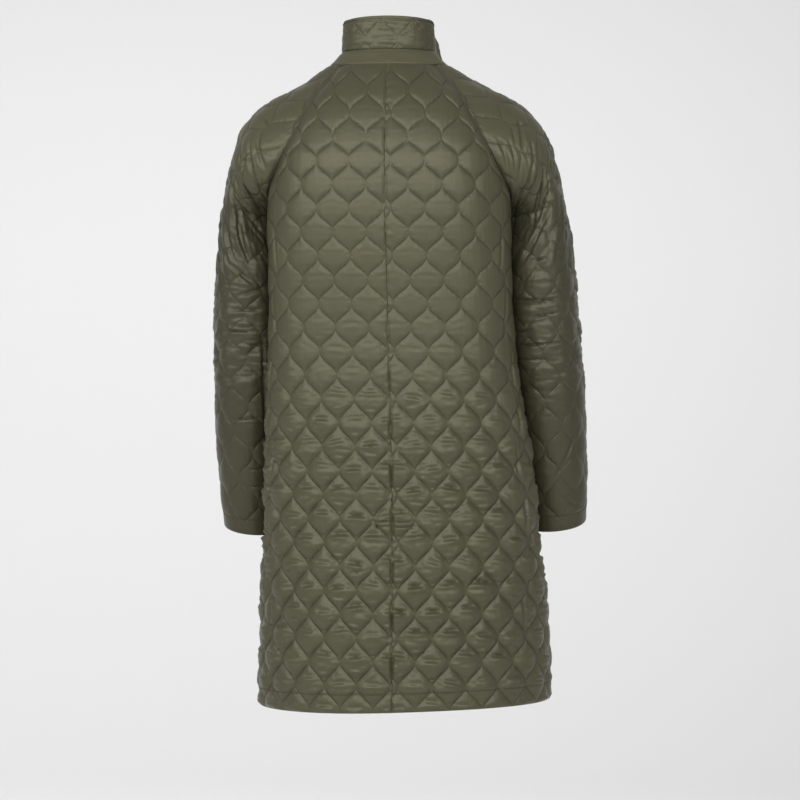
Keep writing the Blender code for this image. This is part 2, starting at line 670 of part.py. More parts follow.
def share_normals(one, other):
    """Turn the normals of two walls that meet at a seam to their mean, so that their rims lie
    side by side. Where they meet in a sharp crease each keeps its own, and sinks a little."""
    closeness = (one.normals * other.normals).sum(axis=1, keepdims=True)
    weight = smoothstep(closeness * 2.0)
    sink = SEAM_GAP / 2 * (1.0 - closeness)
    points = one.points
    first = unit(one.normals + other.normals * weight)
    second = unit(other.normals + one.normals * weight)
    one.points = points - one.normals * sink
    other.points = points - other.normals * sink
    one.normals = first
    other.normals = second


def sleeve_panel(name, side, sleeve, seams):
    """A raglan sleeve. Its flat is the distance round from the overarm line and along from the
    neck."""
    levels = np.linspace(0.0, 1.0, len(seams["raglan_back"].points))
    cap = np.interp(levels, sleeve.level, sleeve.along)
    arm = np.interp(1.0, sleeve.level, sleeve.along)
    end = sleeve.along[-1]

    def edge_flat(along, way):
        return np.stack([way * sleeve.half_length(along, way), along], axis=-1)

    def arm_line(way):
        flat = edge_flat(even(arm, end, EDGE_STEP), way)
        return Line(sleeve.base(flat[:, 0], flat[:, 1]),
                    sleeve.normal(flat[:, 0] - way * SEWN_IN, flat[:, 1]), flat)

    def cap_line(seam, way, neck_normal):
        flat = edge_flat(cap, way)
        normals = sleeve.normal(flat[:, 0] - way * SEWN_IN, flat[:, 1] + SEWN_IN)
        line = Line(seam.points, normals, flat)
        share_normals(seam, line)
        seam.normals[0] = neck_normal
        line.normals[0] = neck_normal
        return line

    underarm = seams["side"].points[0] + seams["side"].normals[0] * SEAM_GAP
    back = cap_line(seams["raglan_back"], 1, seams["neck_sleeve"].normals[-1])
    front = cap_line(seams["raglan_front"], -1, seams["neck_sleeve"].normals[0])
    under_back = arm_line(1)
    under_front = arm_line(-1)
    share_normals(under_back, under_front)
    meeting = ((back, -1), (front, -1), (under_back, 0), (under_front, 0))
    corner = unit(sum(line.normals[place] for line, place in meeting))
    for line, place in meeting:
        line.points[place] = underarm
        line.normals[place] = corner
    around = np.concatenate([np.linspace(sleeve.half_length(end, 1), 0.0, CUFF_POINTS),
                             np.linspace(0.0, -sleeve.half_length(end, -1), CUFF_POINTS)[1:]])
    flat = np.stack([around, np.full_like(around, end)], axis=-1)
    cuff = Line(sleeve.base(flat[:, 0], flat[:, 1]), sleeve.normal(flat[:, 0], flat[:, 1]), flat)
    neck = seams["neck_sleeve"]
    lines = [back, under_back, cuff, under_front.back(), front.back(), neck]

    groove_along = end - CUFF_DEPTH
    groove_x = even(-sleeve.half_length(groove_along, -1) + QUILT_MARGIN,
                    sleeve.half_length(groove_along, 1) - QUILT_MARGIN, QUILT_WIDTH / 2)
    groove = np.stack([groove_x, np.full_like(groove_x, groove_along)], axis=-1)

    def puff(flat):
        return np.full(len(flat), PUFF)

    def wall(flat):
        return WALL + TURNED_EDGE * smoothstep((flat[:, 1] - groove_along) / EDGE_BLEND + 1.0)

    return panel(name, lines, sleeve.surface, (SLEEVE_START, SLEEVE_ROW), puff, wall, (groove,))


def neck_piece(sleeve, seams):
    """The top edge of a sleeve, from its front raglan seam over the shoulder to the back one."""
    front = -sleeve.length[-1][0]
    back = sleeve.length[1][0]
    around = np.concatenate([np.linspace(front, 0.0, 4), np.linspace(0.0, back, 4)[1:]])
    flat = np.stack([around, np.zeros_like(around)], axis=-1)
    points = sleeve.base(flat[:, 0], flat[:, 1])
    normals = sleeve.normal(flat[:, 0], np.full(len(flat), SEWN_IN))
    points[0] = seams["raglan_front"].points[0]
    points[-1] = seams["raglan_back"].points[0]
    return Line(points, normals, flat)


def make_material(name, colour, roughness):
    """A Principled material of one colour."""
    material = bpy.data.materials.new(name)
    material.use_nodes = True
    shader = material.node_tree.nodes["Principled BSDF"]
    shader.inputs["Base Color"].default_value = (*colour, 1.0)
    shader.inputs["Roughness"].default_value = roughness
    shader.inputs["Metallic"].default_value = 0.0
    return material


class NeckPath:
    """The neck seam from the right front round the back to the left front, and the way a collar
    band rises from it."""

    def __init__(self, points):
        self.points = points
        steps = np.linalg.norm(np.diff(points, axis=0), axis=1)
        self.distance = np.concatenate([[0.0], np.cumsum(steps)]) - steps.sum() / 2
        outward = points - np.array([0.0, NECK_CENTRE, 0.0])
        outward[:, 2] = 0.0
        self.outward = unit(outward)

    def read(self, distance):
        """Point and outward direction at distances from the centre back."""
        point = np.stack([np.interp(distance, self.distance, self.points[:, i])
                          for i in range(3)], axis=-1)
        outward = np.stack([np.interp(distance, self.distance, self.outward[:, i])
                            for i in range(3)], axis=-1)
        return point, unit(outward)

    def band(self, flat, lean, proud=0.0):
        """Point and normal of a band that rises from the path: it leans in by 'lean' radians."""
        point, outward = self.read(flat[:, 0])
        lean = lean(flat[:, 0])[:, None]
        height = flat[:, 1:2]
        up = np.array([0.0, 0.0, 1.0])
        point = point + outward * (proud - height * np.sin(lean)) + up * height * np.cos(lean)
        return point, unit(outward * np.cos(lean) + up * np.sin(lean))


def stand_lean(distance):
    """The stand leans in all round, and most where it passes the shoulders."""
    return STAND_LEAN + STAND_TURN * np.exp(-((np.abs(distance) - STAND_TURNS) / STAND_EASE) ** 2)


def leaf_lean(distance):
    """The leaf leans in a little, more beside the neck, and falls open towards its points."""
    beside = np.exp(-((np.abs(distance) - LEAF_TURNS) / STAND_EASE) ** 2)
    opening = smoothstep((np.abs(distance) - LEAF_OPENS) / LEAF_EASE)
    return LEAF_LEAN + LEAF_TURN * beside - LEAF_OPENING * opening


def neck_order(seams):
    """Lines of the neck seam from the right front to the left front, each with the way it is
    run: 1 as it is, -1 from its end."""
    right, left = seams[-1], seams[1]
    return [(right["neck_front"], -1), (right["neck_sleeve"], 1), (right["neck_back"], -1),
            (left["neck_back"], 1), (left["neck_sleeve"], -1), (left["neck_front"], 1)]


def collar_pieces(seams):
    """The stand, sewn to the neck seam, and the leaf, sewn to the top of the stand."""
    order = neck_order(seams)
    run = [line.points[::way] for line, way in order]
    path = NeckPath(np.concatenate([points[:-1] for points in run] + [run[-1][-1:]]))
    ends = path.distance[-1]

    def border(distance, height, surface):
        flat = np.stack(np.broadcast_arrays(distance, height), axis=-1)
        return Line(*surface(flat), flat)

    def stand_surface(flat):
        return path.band(flat, stand_lean)

    foot = border(path.distance, 0.0, stand_surface)
    run = [line.normals[::way] for line, way in order]
    foot.normals = unit(foot.normals + np.concatenate([n[:-1] for n in run] + [run[-1][-1:]]))
    first = 0
    for line, way in order:
        count = len(line.points)
        line.normals = foot.normals[first:first + count][::way]
        first += count - 1
    rise = even(0.0, STAND_HEIGHT, COLLAR_STEP)
    stand_lines = [foot, border(ends, rise, stand_surface),
                   border(path.distance[::-1], STAND_HEIGHT, stand_surface),
                   border(-ends, rise[::-1], stand_surface)]
    stand = panel("collar_stand", stand_lines, stand_surface, None, None, plain_wall)

    top, _ = path.band(np.stack([path.distance, np.full_like(path.distance, STAND_HEIGHT)],
                                axis=-1), stand_lean, LEAF_PROUD)
    fold = NeckPath(top)
    leaf_end = fold.distance[-1] - LEAF_SET_BACK

    def leaf_surface(flat):
        return fold.band(flat, leaf_lean)

    def leaf_top(distance):
        fall = smoothstep(np.abs(distance) / LEAF_OPENS)
        point = smoothstep((np.abs(distance) - LEAF_OPENS) / LEAF_EASE)
        return LEAF_HEIGHT - LEAF_FALL * fall + LEAF_POINT * point

    along = np.unique(np.clip(fold.distance, -leaf_end, leaf_end))
    end_rise = even(0.0, float(leaf_top(leaf_end)), COLLAR_STEP)
    leaf_lines = [border(along, SEAM_GAP, leaf_surface),
                  border(leaf_end, np.maximum(end_rise, SEAM_GAP), leaf_surface),
                  border(along[::-1], leaf_top(along[::-1]), leaf_surface),
                  border(-leaf_end, np.maximum(end_rise[::-1], SEAM_GAP), leaf_surface)]

    def puff(flat):
        return np.full(len(flat), COLLAR_PUFF)

    leaf = panel("collar_leaf", leaf_lines, leaf_surface, (LEAF_START, LEAF_ROW), puff,
                 plain_wall)
    return [stand, leaf]


def plain_wall(flat):
    """Even wall thickness."""
    return np.full(len(flat), WALL)


def button(number, height, material):
    """A turned button with a raised rim, on the outer face of the left front."""
    left_front = body_line(math.pi, height)
    normal = left_front.normals[()]
    profile = [(0.0, BUTTON_THICKNESS * 0.62), (BUTTON_RADIUS * 0.70, BUTTON_THICKNESS * 0.62),
               (BUTTON_RADIUS * 0.80, BUTTON_THICKNESS), (BUTTON_RADIUS * 0.94, BUTTON_THICKNESS),
               (BUTTON_RADIUS, BUTTON_THICKNESS * 0.70), (BUTTON_RADIUS * 0.86, 0.0), (0.0, 0.0)]
    mesh = bpy.data.meshes.new(f"button_{number}")
    edges = [(i, i + 1) for i in range(len(profile) - 1)]
    mesh.from_pydata([(x, 0.0, z) for x, z in profile], edges, [])
    mesh.materials.append(material)
    piece = bpy.data.objects.new(f"button_{number}", mesh)
    piece.location = left_front.points[()] + normal * (LAP_LIFT + BUTTON_SEAT)
    piece.rotation_mode = "QUATERNION"
    piece.rotation_quaternion = Vector(normal).to_track_quat("Z", "Y")
    turning = piece.modifiers.new("Turned", "SCREW")
    turning.steps = 20
    turning.render_steps = 20
    turning.use_merge_vertices = True
    turning.merge_threshold = 0.00005
    turning.use_normal_calculate = True
    return piece


def main():
    """Remove what the scene holds and build the coat."""
    for item in list(bpy.data.objects):
        bpy.data.objects.remove(item, do_unlink=True)
    coat = bpy.data.collections.new("Quilted coat")
    bpy.context.scene.collection.children.link(coat)

    seams = {}
    sleeves = {}
    for side in (1, -1):
        seams[side] = body_seams(side)
        sleeves[side] = Sleeve(side, seams[side]["raglan_back"], seams[side]["raglan_front"])
        seams[side]["neck_sleeve"] = neck_piece(sleeves[side], seams[side])
    pieces = collar_pieces(seams)
    for side, hand in ((1, "left"), (-1, "right")):
        half = seams[side]
        pieces.append(sleeve_panel("sleeve_" + hand, side, sleeves[side], half))
        pieces.append(body_panel("back_" + hand, side, [
            half["centre_back"], half["neck_back"], half["raglan_back"], half["side"],
            half["hem_back"]], front=False))
        pieces.append(body_panel("front_" + hand, side, [
            half["side"].back(), half["raglan_front"].back(), half["neck_front"],
            half["neck_lap"], half["front_edge"], half["hem_front"].back()], front=True))

    cloth = make_material("Olive quilted cloth", CLOTH, CLOTH_ROUGHNESS)
    for piece in pieces:
        material = cloth.copy()
        material.name = "Cloth of " + piece.name
        piece.data.materials.append(material)
        coat.objects.link(piece)
    horn = make_material("Dark horn", BUTTON_COLOUR, BUTTON_ROUGHNESS)
    for number, height in enumerate(BUTTON_HEIGHTS, start=1):
        coat.objects.link(button(number, height, horn))


main()
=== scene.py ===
"""The looks of the quilted coat: each cloth panel as a fine, padded and stitched shell on the form
of its solid, with its buttons and rows of topstitching, and a plain studio."""

import math

import bpy
import numpy as np
from bpy.props import FloatProperty, FloatVectorProperty, PointerProperty
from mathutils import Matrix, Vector


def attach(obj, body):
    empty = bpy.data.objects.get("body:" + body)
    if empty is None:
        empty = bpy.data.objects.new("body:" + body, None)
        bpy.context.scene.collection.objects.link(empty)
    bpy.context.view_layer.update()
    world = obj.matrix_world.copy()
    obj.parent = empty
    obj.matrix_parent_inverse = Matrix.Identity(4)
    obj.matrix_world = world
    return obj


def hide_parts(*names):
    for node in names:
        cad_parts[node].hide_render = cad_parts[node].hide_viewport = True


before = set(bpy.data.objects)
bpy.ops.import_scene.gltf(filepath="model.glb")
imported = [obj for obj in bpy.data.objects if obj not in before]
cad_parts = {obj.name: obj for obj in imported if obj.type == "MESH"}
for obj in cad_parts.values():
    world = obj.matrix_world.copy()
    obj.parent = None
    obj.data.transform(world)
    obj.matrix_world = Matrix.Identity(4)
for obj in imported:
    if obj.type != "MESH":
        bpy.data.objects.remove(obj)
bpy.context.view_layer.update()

bl_info = {
    "name": "Quilted coat",
    "version": (1, 0, 0),
    "blender": (4, 5, 0),
    "location": "3D View > Sidebar > Coat",
    "description": "Builds the cloth, stitching, buttons and studio of a quilted coat",
    "category": "Add Mesh",
}

# --- Sizes shared with the solids, in metres --------------------------------------------------
HEM = -0.980
HEM_TILT = 0.006
UNDERARM = -0.235
NECK_DROP = 0.072
OVERLAP = 0.030
LAP_LIFT = 0.0050
LAP_BLEND = 0.050
PLACKET = 0.045
TURNED_EDGE = 0.0014
HEM_DEPTH = 0.028
CUFF_DEPTH = 0.024
QUILT_STARTS = {1: 0.003, -1: 0.009}
QUILT_ROW = -0.1495
SLEEVE_START = 0.000
SLEEVE_ROW = 0.020
LEAF_START = 0.008
LEAF_ROW = -0.022
SIDE_ANGLE = math.radians(97.0)
NECK_LEVEL = 1.2
NECK_CURVE = 1.1
NECK_CENTRE = -0.010
STAND_HEIGHT = 0.028
STAND_LEAN = math.radians(31.0)
STAND_TURN = math.radians(24.0)
STAND_TURNS = 0.145
STAND_EASE = 0.045
LEAF_HEIGHT = 0.050
LEAF_FALL = 0.008
LEAF_LEAN = math.radians(2.0)
LEAF_TURN = math.radians(10.0)
LEAF_TURNS = 0.155
LEAF_OPENING = math.radians(4.0)
LEAF_OPENS = 0.150
LEAF_POINT = 0.014
LEAF_PROUD = 0.0012
LEAF_SET_BACK = 0.010
BUTTON_RADIUS = 0.0125
BUTTON_THICKNESS = 0.0042
BUTTON_SEAT = 0.0004
BUTTON_HEIGHTS = (-0.110, -0.235, -0.360, -0.485, -0.610)
HOLLOW_MIDDLE = -0.020
HOLLOW_SPREAD = 0.068

# --- Sizes of the looks -----------------------------------------------------------------------
SEAM_ROLL = 0.0022          # width over which cloth rolls down into a seam or over an edge
SEAM_DEPTH = 0.0011         # how deep it rolls
SEAM_RISE = 0.0100          # width over which the padding rises beside a seam
CENTRE_RISE = 0.0050        # the same beside the centre back seam, where some of it stays
RAGLAN_RISE = 0.0130        # the same on the body beside a raglan seam
SLEEVE_RISE = 0.0065        # the same on a sleeve, beside all of its edges
RAGLAN_TROUGH = 0.0105      # half width of the sunk band along the upper part of a raglan seam
TROUGH_DEPTH = 0.0016       # how deep that band is sunk
# The quilting's lines are cosine waves with a share of their third overtone. A negative share
# lets them run side by side for longer where they touch. It changes down the body.
UPPER_SHARE = -0.035
LOWER_SHARE = 0.03
SLEEVE_SHARE = -0.02
SHARE_FROM = -0.36
SHARE_OVER = 0.26
LOWER_BANK = 0.0021         # width over which the padding rises at the lower side of a cell
UPPER_BANK = 0.0042         # the same at its upper side
INNER_STEP = 3              # the plain inner side has a point for each few of the outer side
UNDER_LAP = 0.012           # how much further the right front is flat, under the lap
THREAD_LIFT = 0.0004        # how far the middle of a stitch lies over the cloth
FRONT_STITCHING = 0.007     # how far the stitching lies in from the front edge
LEAF_STITCHING = 0.0055     # how far it lies in from the leaf's free edges
COLLAR_SPACING = 0.0017     # length of a mesh cell on the collar


class Table:
    """Rows of named columns, read between its rows along a smooth, shape-keeping curve."""

    def __init__(self, columns, *rows):
        self.columns = columns.split()
        self.values = np.array(rows, dtype=float)
        self.values = self.values[np.argsort(self.values[:, 0])]

    def __call__(self, column, at):
        """Piecewise cubic: the slope at a row is the harmonic mean of its two neighbours'."""
        x = self.values[:, 0]
        y = self.values[:, self.columns.index(column)]
        steps = np.diff(x)
        slopes = np.diff(y) / steps
        tangent = np.zeros_like(y)
        same = slopes[1:] * slopes[:-1] > 0
        inner = np.zeros(len(slopes) - 1)
        inner[same] = 2.0 * slopes[1:][same] * slopes[:-1][same] / (slopes[1:] + slopes[:-1])[same]
        tangent[1:-1] = inner
        tangent[0] = slopes[0]
        tangent[-1] = slopes[-1]
        at = np.clip(np.asarray(at, dtype=float), x[0], x[-1])
        row = np.clip(np.searchsorted(x, at, side="right") - 1, 0, len(steps) - 1)
        width = steps[row]
        t = (at - x[row]) / width
        return ((2 * t**3 - 3 * t**2 + 1) * y[row] + (t**3 - 2 * t**2 + t) * width * tangent[row]
                + (3 * t**2 - 2 * t**3) * y[row + 1] + (t**3 - t**2) * width * tangent[row + 1])


BODY = Table(
    "height half_width back front square hollow_left hollow_right shift sway",
    (0.000, 0.0905, 0.070, 0.052, 2.2, 0.000, 0.000, 0.003, 0.000),
    (-0.020, 0.114, 0.084, 0.066, 2.2, 0.000, 0.000, 0.002, 0.000),
    (-0.050, 0.150, 0.102, 0.086, 2.3, 0.000, 0.000, 0.000, 0.000),
    (-0.090, 0.177, 0.118, 0.104, 2.4, 0.002, 0.002, 0.000, 0.000),
    (-0.140, 0.194, 0.130, 0.120, 2.5, 0.010, 0.008, 0.000, 0.000),
    (-0.190, 0.200, 0.134, 0.129, 2.5, 0.028, 0.024, 0.000, -0.001),
    (-0.235, 0.204, 0.135, 0.136, 2.5, 0.039, 0.033, 0.001, -0.002),
    (-0.290, 0.206, 0.134, 0.138, 2.5, 0.049, 0.039, 0.000, -0.003),
    (-0.360, 0.207, 0.133, 0.138, 2.5, 0.051, 0.040, -0.001, -0.0035),
    (-0.480, 0.214, 0.135, 0.138, 2.5, 0.054, 0.044, -0.005, -0.003),
    (-0.620, 0.2285, 0.142, 0.142, 2.4, 0.051, 0.056, -0.017, 0.0055),
    (-0.720, 0.2350, 0.147, 0.147, 2.3, 0.052, 0.066, -0.022, 0.0085),
    (-0.790, 0.2325, 0.150, 0.150, 2.2, 0.020, 0.024, -0.0215, 0.0083),
    (-0.860, 0.2245, 0.152, 0.152, 2.2, 0.005, 0.005, -0.0210, 0.0080),
    (-1.000, 0.2275, 0.155, 0.155, 2.1, 0.000, 0.000, -0.0210, 0.0078),
)
BACK_RAGLAN = Table(
    "height angle",
    (0.000, 58.0), (-0.050, 56.5), (-0.100, 58.0), (-0.140, 61.5), (-0.175, 68.0),
    (-0.205, 79.0), (UNDERARM, 97.0),
)
FRONT_RAGLAN = Table(
    "height angle",
    (0.000, 119.0), (-0.060, 121.0), (-0.120, 121.0), (-0.165, 118.0), (-0.200, 110.0),
    (UNDERARM, 97.0),
)
OVERARM = Table(
    "level out_left out_right top middle reach seam_reach wrap dip longer",
    (0.00, 0.0945, 0.0885, 0.0010, 0.000, 0.028, 0.018, 0.2, 0.0, 0.0),
    (0.20, 0.1380, 0.1380, -0.0290, -0.001, 0.040, 0.022, 0.2, 0.0, 0.0),
    (0.40, 0.1920, 0.1920, -0.0560, -0.002, 0.052, 0.030, 0.3, 0.0, 0.0),
    (0.60, 0.2290, 0.2305, -0.0940, -0.004, 0.066, 0.038, 0.4, 0.0, 0.0),
    (0.80, 0.2465, 0.2510, -0.1450, -0.007, 0.088, 0.046, 0.5, 0.0, 0.0),
    (1.00, 0.2600, 0.2660, -0.2100, -0.010, 0.108, 0.066, 0.62, 0.0, 0.0),
    (1.20, 0.2705, 0.2795, -0.2900, -0.012, 0.110, 0.078, 0.9, 0.0, 0.0),
    (1.45, 0.2765, 0.2895, -0.4000, -0.015, 0.106, 0.082, 1.0, 0.02, 0.0015),
    (1.70, 0.2765, 0.2990, -0.5300, -0.022, 0.096, 0.078, 1.0, 0.08, 0.0040),
    (1.90, 0.2705, 0.3015, -0.6450, -0.034, 0.084, 0.070, 1.0, 0.16, 0.0065),
    (2.00, 0.2665, 0.3010, -0.7010, -0.042, 0.080, 0.066, 1.0, 0.20, 0.0080),
)
INNER_ARM = Table(
    "level width_left width_right drop",
    (1.00, 0.094, 0.100, 0.025),
    (1.20, 0.102, 0.104, 0.014),
    (1.45, 0.107, 0.109, 0.008),
    (1.70, 0.104, 0.106, 0.004),
    (1.90, 0.097, 0.099, 0.006),
    (2.00, 0.094, 0.096, 0.010),
)

# The folds of the cloth, as troughs with a ridge on either side in a panel's flat shape. On a
# sleeve x runs from the overarm line to the back and y from the neck down the arm. On the body
# x runs from the centre line and y is the height.
FOLD_COLUMNS = "x_1 y_1 x_2 y_2 width depth"
LEFT_SLEEVE_FOLDS = Table(
    FOLD_COLUMNS,
    (0.078, 0.159, 0.140, 0.204, 0.0046, -0.0035),
    (0.083, 0.148, 0.142, 0.172, 0.0041, -0.0031),
    (0.064, 0.265, 0.131, 0.327, 0.0046, -0.0035),
    (0.099, 0.217, 0.119, 0.281, 0.0076, -0.0048),
    (0.061, 0.254, 0.103, 0.369, 0.0049, -0.0037),
    (0.054, 0.303, 0.084, 0.376, 0.0046, -0.0035),
    (0.080, 0.308, 0.107, 0.371, 0.0046, -0.0035),
    (0.031, 0.336, 0.064, 0.424, 0.0029, -0.0026),
    (0.081, 0.450, 0.132, 0.444, 0.0036, -0.0028),
    (0.061, 0.483, 0.130, 0.479, 0.0026, -0.0027),
    (0.103, 0.501, 0.129, 0.501, 0.0026, -0.0022),
    (0.131, 0.491, 0.129, 0.645, 0.0043, -0.0044),
    (0.075, 0.376, 0.111, 0.404, 0.0042, -0.0031),
    (0.142, 0.406, 0.090, 0.428, 0.0036, -0.0028),
    (0.066, 0.617, 0.128, 0.613, 0.0026, -0.0017),
    (0.089, 0.716, 0.112, 0.716, 0.0024, -0.0017),
    (0.094, 0.690, 0.117, 0.690, 0.0024, -0.0017),
    (0.091, 0.166, 0.080, 0.214, 0.0031, -0.0024),
    (0.055, 0.128, 0.084, 0.124, 0.0026, -0.0027),
    (0.084, 0.170, 0.101, 0.247, 0.0046, -0.0029),
)
RIGHT_SLEEVE_FOLDS = Table(
    FOLD_COLUMNS,
    (0.088, 0.190, 0.123, 0.222, 0.0051, -0.0039),
    (0.120, 0.208, 0.150, 0.335, 0.0051, -0.0039),
    (0.069, 0.213, 0.102, 0.330, 0.0051, -0.0039),
    (0.069, 0.273, 0.092, 0.317, 0.0041, -0.0031),
    (0.062, 0.292, 0.126, 0.377, 0.0046, -0.0035),
    (0.112, 0.139, 0.136, 0.178, 0.0039, -0.0030),
    (0.102, 0.147, 0.127, 0.183, 0.0026, -0.0027),
    (0.059, 0.139, 0.098, 0.169, 0.0046, -0.0034),
    (0.073, 0.169, 0.090, 0.196, 0.0046, -0.0030),
    (0.063, 0.229, 0.067, 0.281, 0.0029, -0.0026),
    (0.148, 0.436, 0.065, 0.443, 0.0027, -0.0026),
    (0.120, 0.467, 0.072, 0.461, 0.0027, -0.0024),
    (0.143, 0.509, 0.067, 0.507, 0.0027, -0.0026),
    (0.153, 0.489, 0.118, 0.485, 0.0026, -0.0022),
    (0.048, 0.637, 0.089, 0.716, 0.0043, -0.0026),
    (0.078, 0.738, 0.045, 0.756, 0.0034, -0.0019),
    (0.108, 0.377, 0.089, 0.377, 0.0026, -0.0022),
    (0.158, 0.529, 0.090, 0.533, 0.0027, -0.0022),
)
BODY_FOLDS = Table(
    FOLD_COLUMNS,
    (-0.004, -0.6925, 0.034, -0.6918, 0.0022, -0.0024),
    (-0.004, -0.7010, 0.034, -0.7003, 0.0022, -0.0020),
    (0.196, -0.440, 0.201, -0.520, 0.0036, -0.0026),
    (0.207, -0.500, 0.203, -0.590, 0.0040, -0.0028),
    (0.192, -0.575, 0.199, -0.640, 0.0034, -0.0022),
    (0.212, -0.610, 0.206, -0.730, 0.0040, -0.0028),
    (0.222, -0.700, 0.218, -0.800, 0.0040, -0.0026),
    (0.205, -0.790, 0.209, -0.870, 0.0036, -0.0022),
    (0.186, -0.250, 0.178, -0.320, 0.0036, -0.0022),
    (0.192, -0.340, 0.184, -0.420, 0.0034, -0.0020),
)


# --- Small mathematics on whole arrays --------------------------------------------------------
def unit(vectors):
    """Vectors of length one."""
    return vectors / np.maximum(np.linalg.norm(vectors, axis=-1, keepdims=True), 1e-12)


def smoothstep(value):
    """0 below 0, 1 above 1, and an even S-curve between."""
    value = np.clip(value, 0.0, 1.0)
    return value * value * (3.0 - 2.0 * value)


def bell(value):
    """1 at 0, dying out by about 2 on both sides."""
    return np.exp(-value * value)


def chance(*whole):
    """A fixed number from 0 to 1 for each set of whole numbers: the fraction of a large sine."""
    total = sum(np.asarray(n, float) * k for n, k in zip(whole, (12.9898, 78.233, 37.719)))
    value = np.sin(total) * 43758.5453
    return value - np.floor(value)


def noise(x, y, seed=0):
    """Smooth noise from -1 to 1: fixed numbers on a unit grid, blended by S-curves."""
    column, row = np.floor(x), np.floor(y)
    u, v = smoothstep(x - column), smoothstep(y - row)
    low = chance(column, row, seed) * (1 - u) + chance(column + 1, row, seed) * u
    high = chance(column, row + 1, seed) * (1 - u) + chance(column + 1, row + 1, seed) * u
    return 2.0 * (low * (1 - v) + high * v) - 1.0


def crumple(x, y, seed):
    """Crushed cloth from 0 to 1: sharp valleys where smooth noise passes through zero, with
    smaller ones between them."""
    return (0.65 * np.abs(noise(x, y, seed))
            + 0.35 * np.abs(noise(2.1 * x + 0.4 * y, 1.9 * y + 0.3, seed + 1)))


def spread(length, spacing):
    """Places from 0 to 1 along an edge: even, with three closer ones at each end."""
    close = np.array([0.0, 0.0005, 0.0013])
    count = max(2, round((length - 0.005) / spacing))
    middle = np.linspace(0.0025, length - 0.0025, count + 1)
    return np.concatenate([close, middle, length - close[::-1]]) / length


def even_rows(lines, places):
    """Points at given shares of the length of each line. 'lines' is rows x samples x 3: each
    row's running length is set end to end with the others', so one lookup serves them all."""
    steps = np.linalg.norm(np.diff(lines, axis=1), axis=2)
    length = np.concatenate([np.zeros((len(lines), 1)), np.cumsum(steps, axis=1)], axis=1)
    share = length / length[:, -1:]
    start = 2.0 * np.arange(len(lines))[:, None]
    where = (share + start).ravel()
    wanted = np.broadcast_to(places, (len(lines), np.shape(places)[-1])) + start
    return where, wanted, length[:, -1]


def folds(x, y, table):
    """Depth of folds: each is a trough along its line, with a lower ridge on either side, as in
    (1 - 1.1 d^2) exp(-d^2) of the distance d in widths, and dies out at its ends."""
    total = np.zeros_like(x)
    for x1, y1, x2, y2, width, depth in table.values:
        run = np.array([x2 - x1, y2 - y1])
        length = np.linalg.norm(run)
        along = ((x - x1) * run[0] + (y - y1) * run[1]) / length**2
        share = (((y - y1) * run[0] - (x - x1) * run[1]) / length / width) ** 2
        total += depth * (1.0 - 1.1 * share) * np.exp(-share - ((along - 0.5) / 0.45) ** 4)
    return total


# --- The body form ----------------------------------------------------------------------------
def body_point(angle, height):
    """Point of the body: an oval of given half-width and depths, pressed in by the arms."""
    angle, height = np.broadcast_arrays(np.asarray(angle, float), np.asarray(height, float))
    side = np.sin(angle)
    rear = np.cos(angle)
    depth = np.where(rear > 0, BODY("back", height), BODY("front", height))
    power = BODY("square", height)
    radius = (np.abs(side / BODY("half_width", height)) ** power
              + np.abs(rear / depth) ** power) ** (-1.0 / power)
    x = radius * side
    y = radius * rear
    hollow = np.where(side > 0, BODY("hollow_left", height), BODY("hollow_right", height))
    pressed = hollow * bell((y - HOLLOW_MIDDLE) / HOLLOW_SPREAD) * side**2
    x = x - np.sign(side) * pressed + BODY("shift", height)
    x = x + BODY("sway", height) * np.maximum(rear, 0.0) ** 2
    return np.stack([x, y, height], axis=-1)


def body_normal(angle, height):
    """Outward normal of the body, from its two slopes."""
    step = 0.003
    across = body_point(angle + step, height) - body_point(angle - step, height)
    down = body_point(angle, height - step) - body_point(angle, height + step)
    return unit(np.cross(across, down))


def neck_height(angle):
    """Height of the neck seam: level at the back, sinking in an S-curve to the front."""
    forward = (np.abs(angle) - NECK_LEVEL) / (math.pi - NECK_LEVEL)
    return -NECK_DROP * smoothstep(forward) ** NECK_CURVE


def hem_height(angle):
    """Height of the hem: it tilts a little from side to side."""
    return HEM - HEM_TILT * np.sin(angle)


def lap(distance, side):
    """How far a front lies out (left) or in (right), by its distance from the centre front."""
    return side * LAP_LIFT * smoothstep((LAP_BLEND - distance) / (LAP_BLEND - OVERLAP * 0.5))


def lap_angle(height, side):
    """Angle of the front edge at each height, a fixed length past the centre front."""
    levels = np.linspace(-0.06, HEM - 0.01, 60)
    angles = side * math.pi + side * np.linspace(0.0, 1.2, 200)
    rings = body_point(angles[None, :], levels[:, None])
    steps = np.linalg.norm(np.diff(rings, axis=1), axis=2)
    length = np.concatenate([np.zeros((60, 1)), np.cumsum(steps, axis=1)], axis=1)
    found = np.array([np.interp(OVERLAP, row, angles) for row in length])
    return np.interp(height, levels[::-1], found[::-1])


class Grid:
    """A panel's base surface as rows and columns of points and normals, with its flat place,
    x across and y down the panel, and the length left to each of its four edges."""

    def __init__(self, points, normals, x, y, left, right, above, below):
        self.points = points
        self.normals = normals
        self.x = x
        self.y = y
        self.left = left
        self.right = right
        self.above = above
        self.below = below
        # Length to where shade is painted, for the pieces that have some.
        self.shade_distance = None

    def shade_distances(self):
        """Length to where shade is painted, along a seam or under the collar's leaf, where one is
        named, and to the nearest edge.
        """
        shade_distance = np.full_like(self.x, 0.05) if self.shade_distance is None else self.shade_distance
        edge = np.minimum(np.minimum(self.left, self.right), np.minimum(self.above, self.below))
        return np.stack([np.minimum(shade_distance, 0.05), np.minimum(edge, 0.05)], axis=-1)

    def area(self):
        """Area of the base surface, from the crossed sides of its cells."""
        p = self.points
        return float(np.linalg.norm(np.cross(p[1:, :-1] - p[:-1, :-1],
                                             p[:-1, 1:] - p[:-1, :-1]), axis=-1).sum())


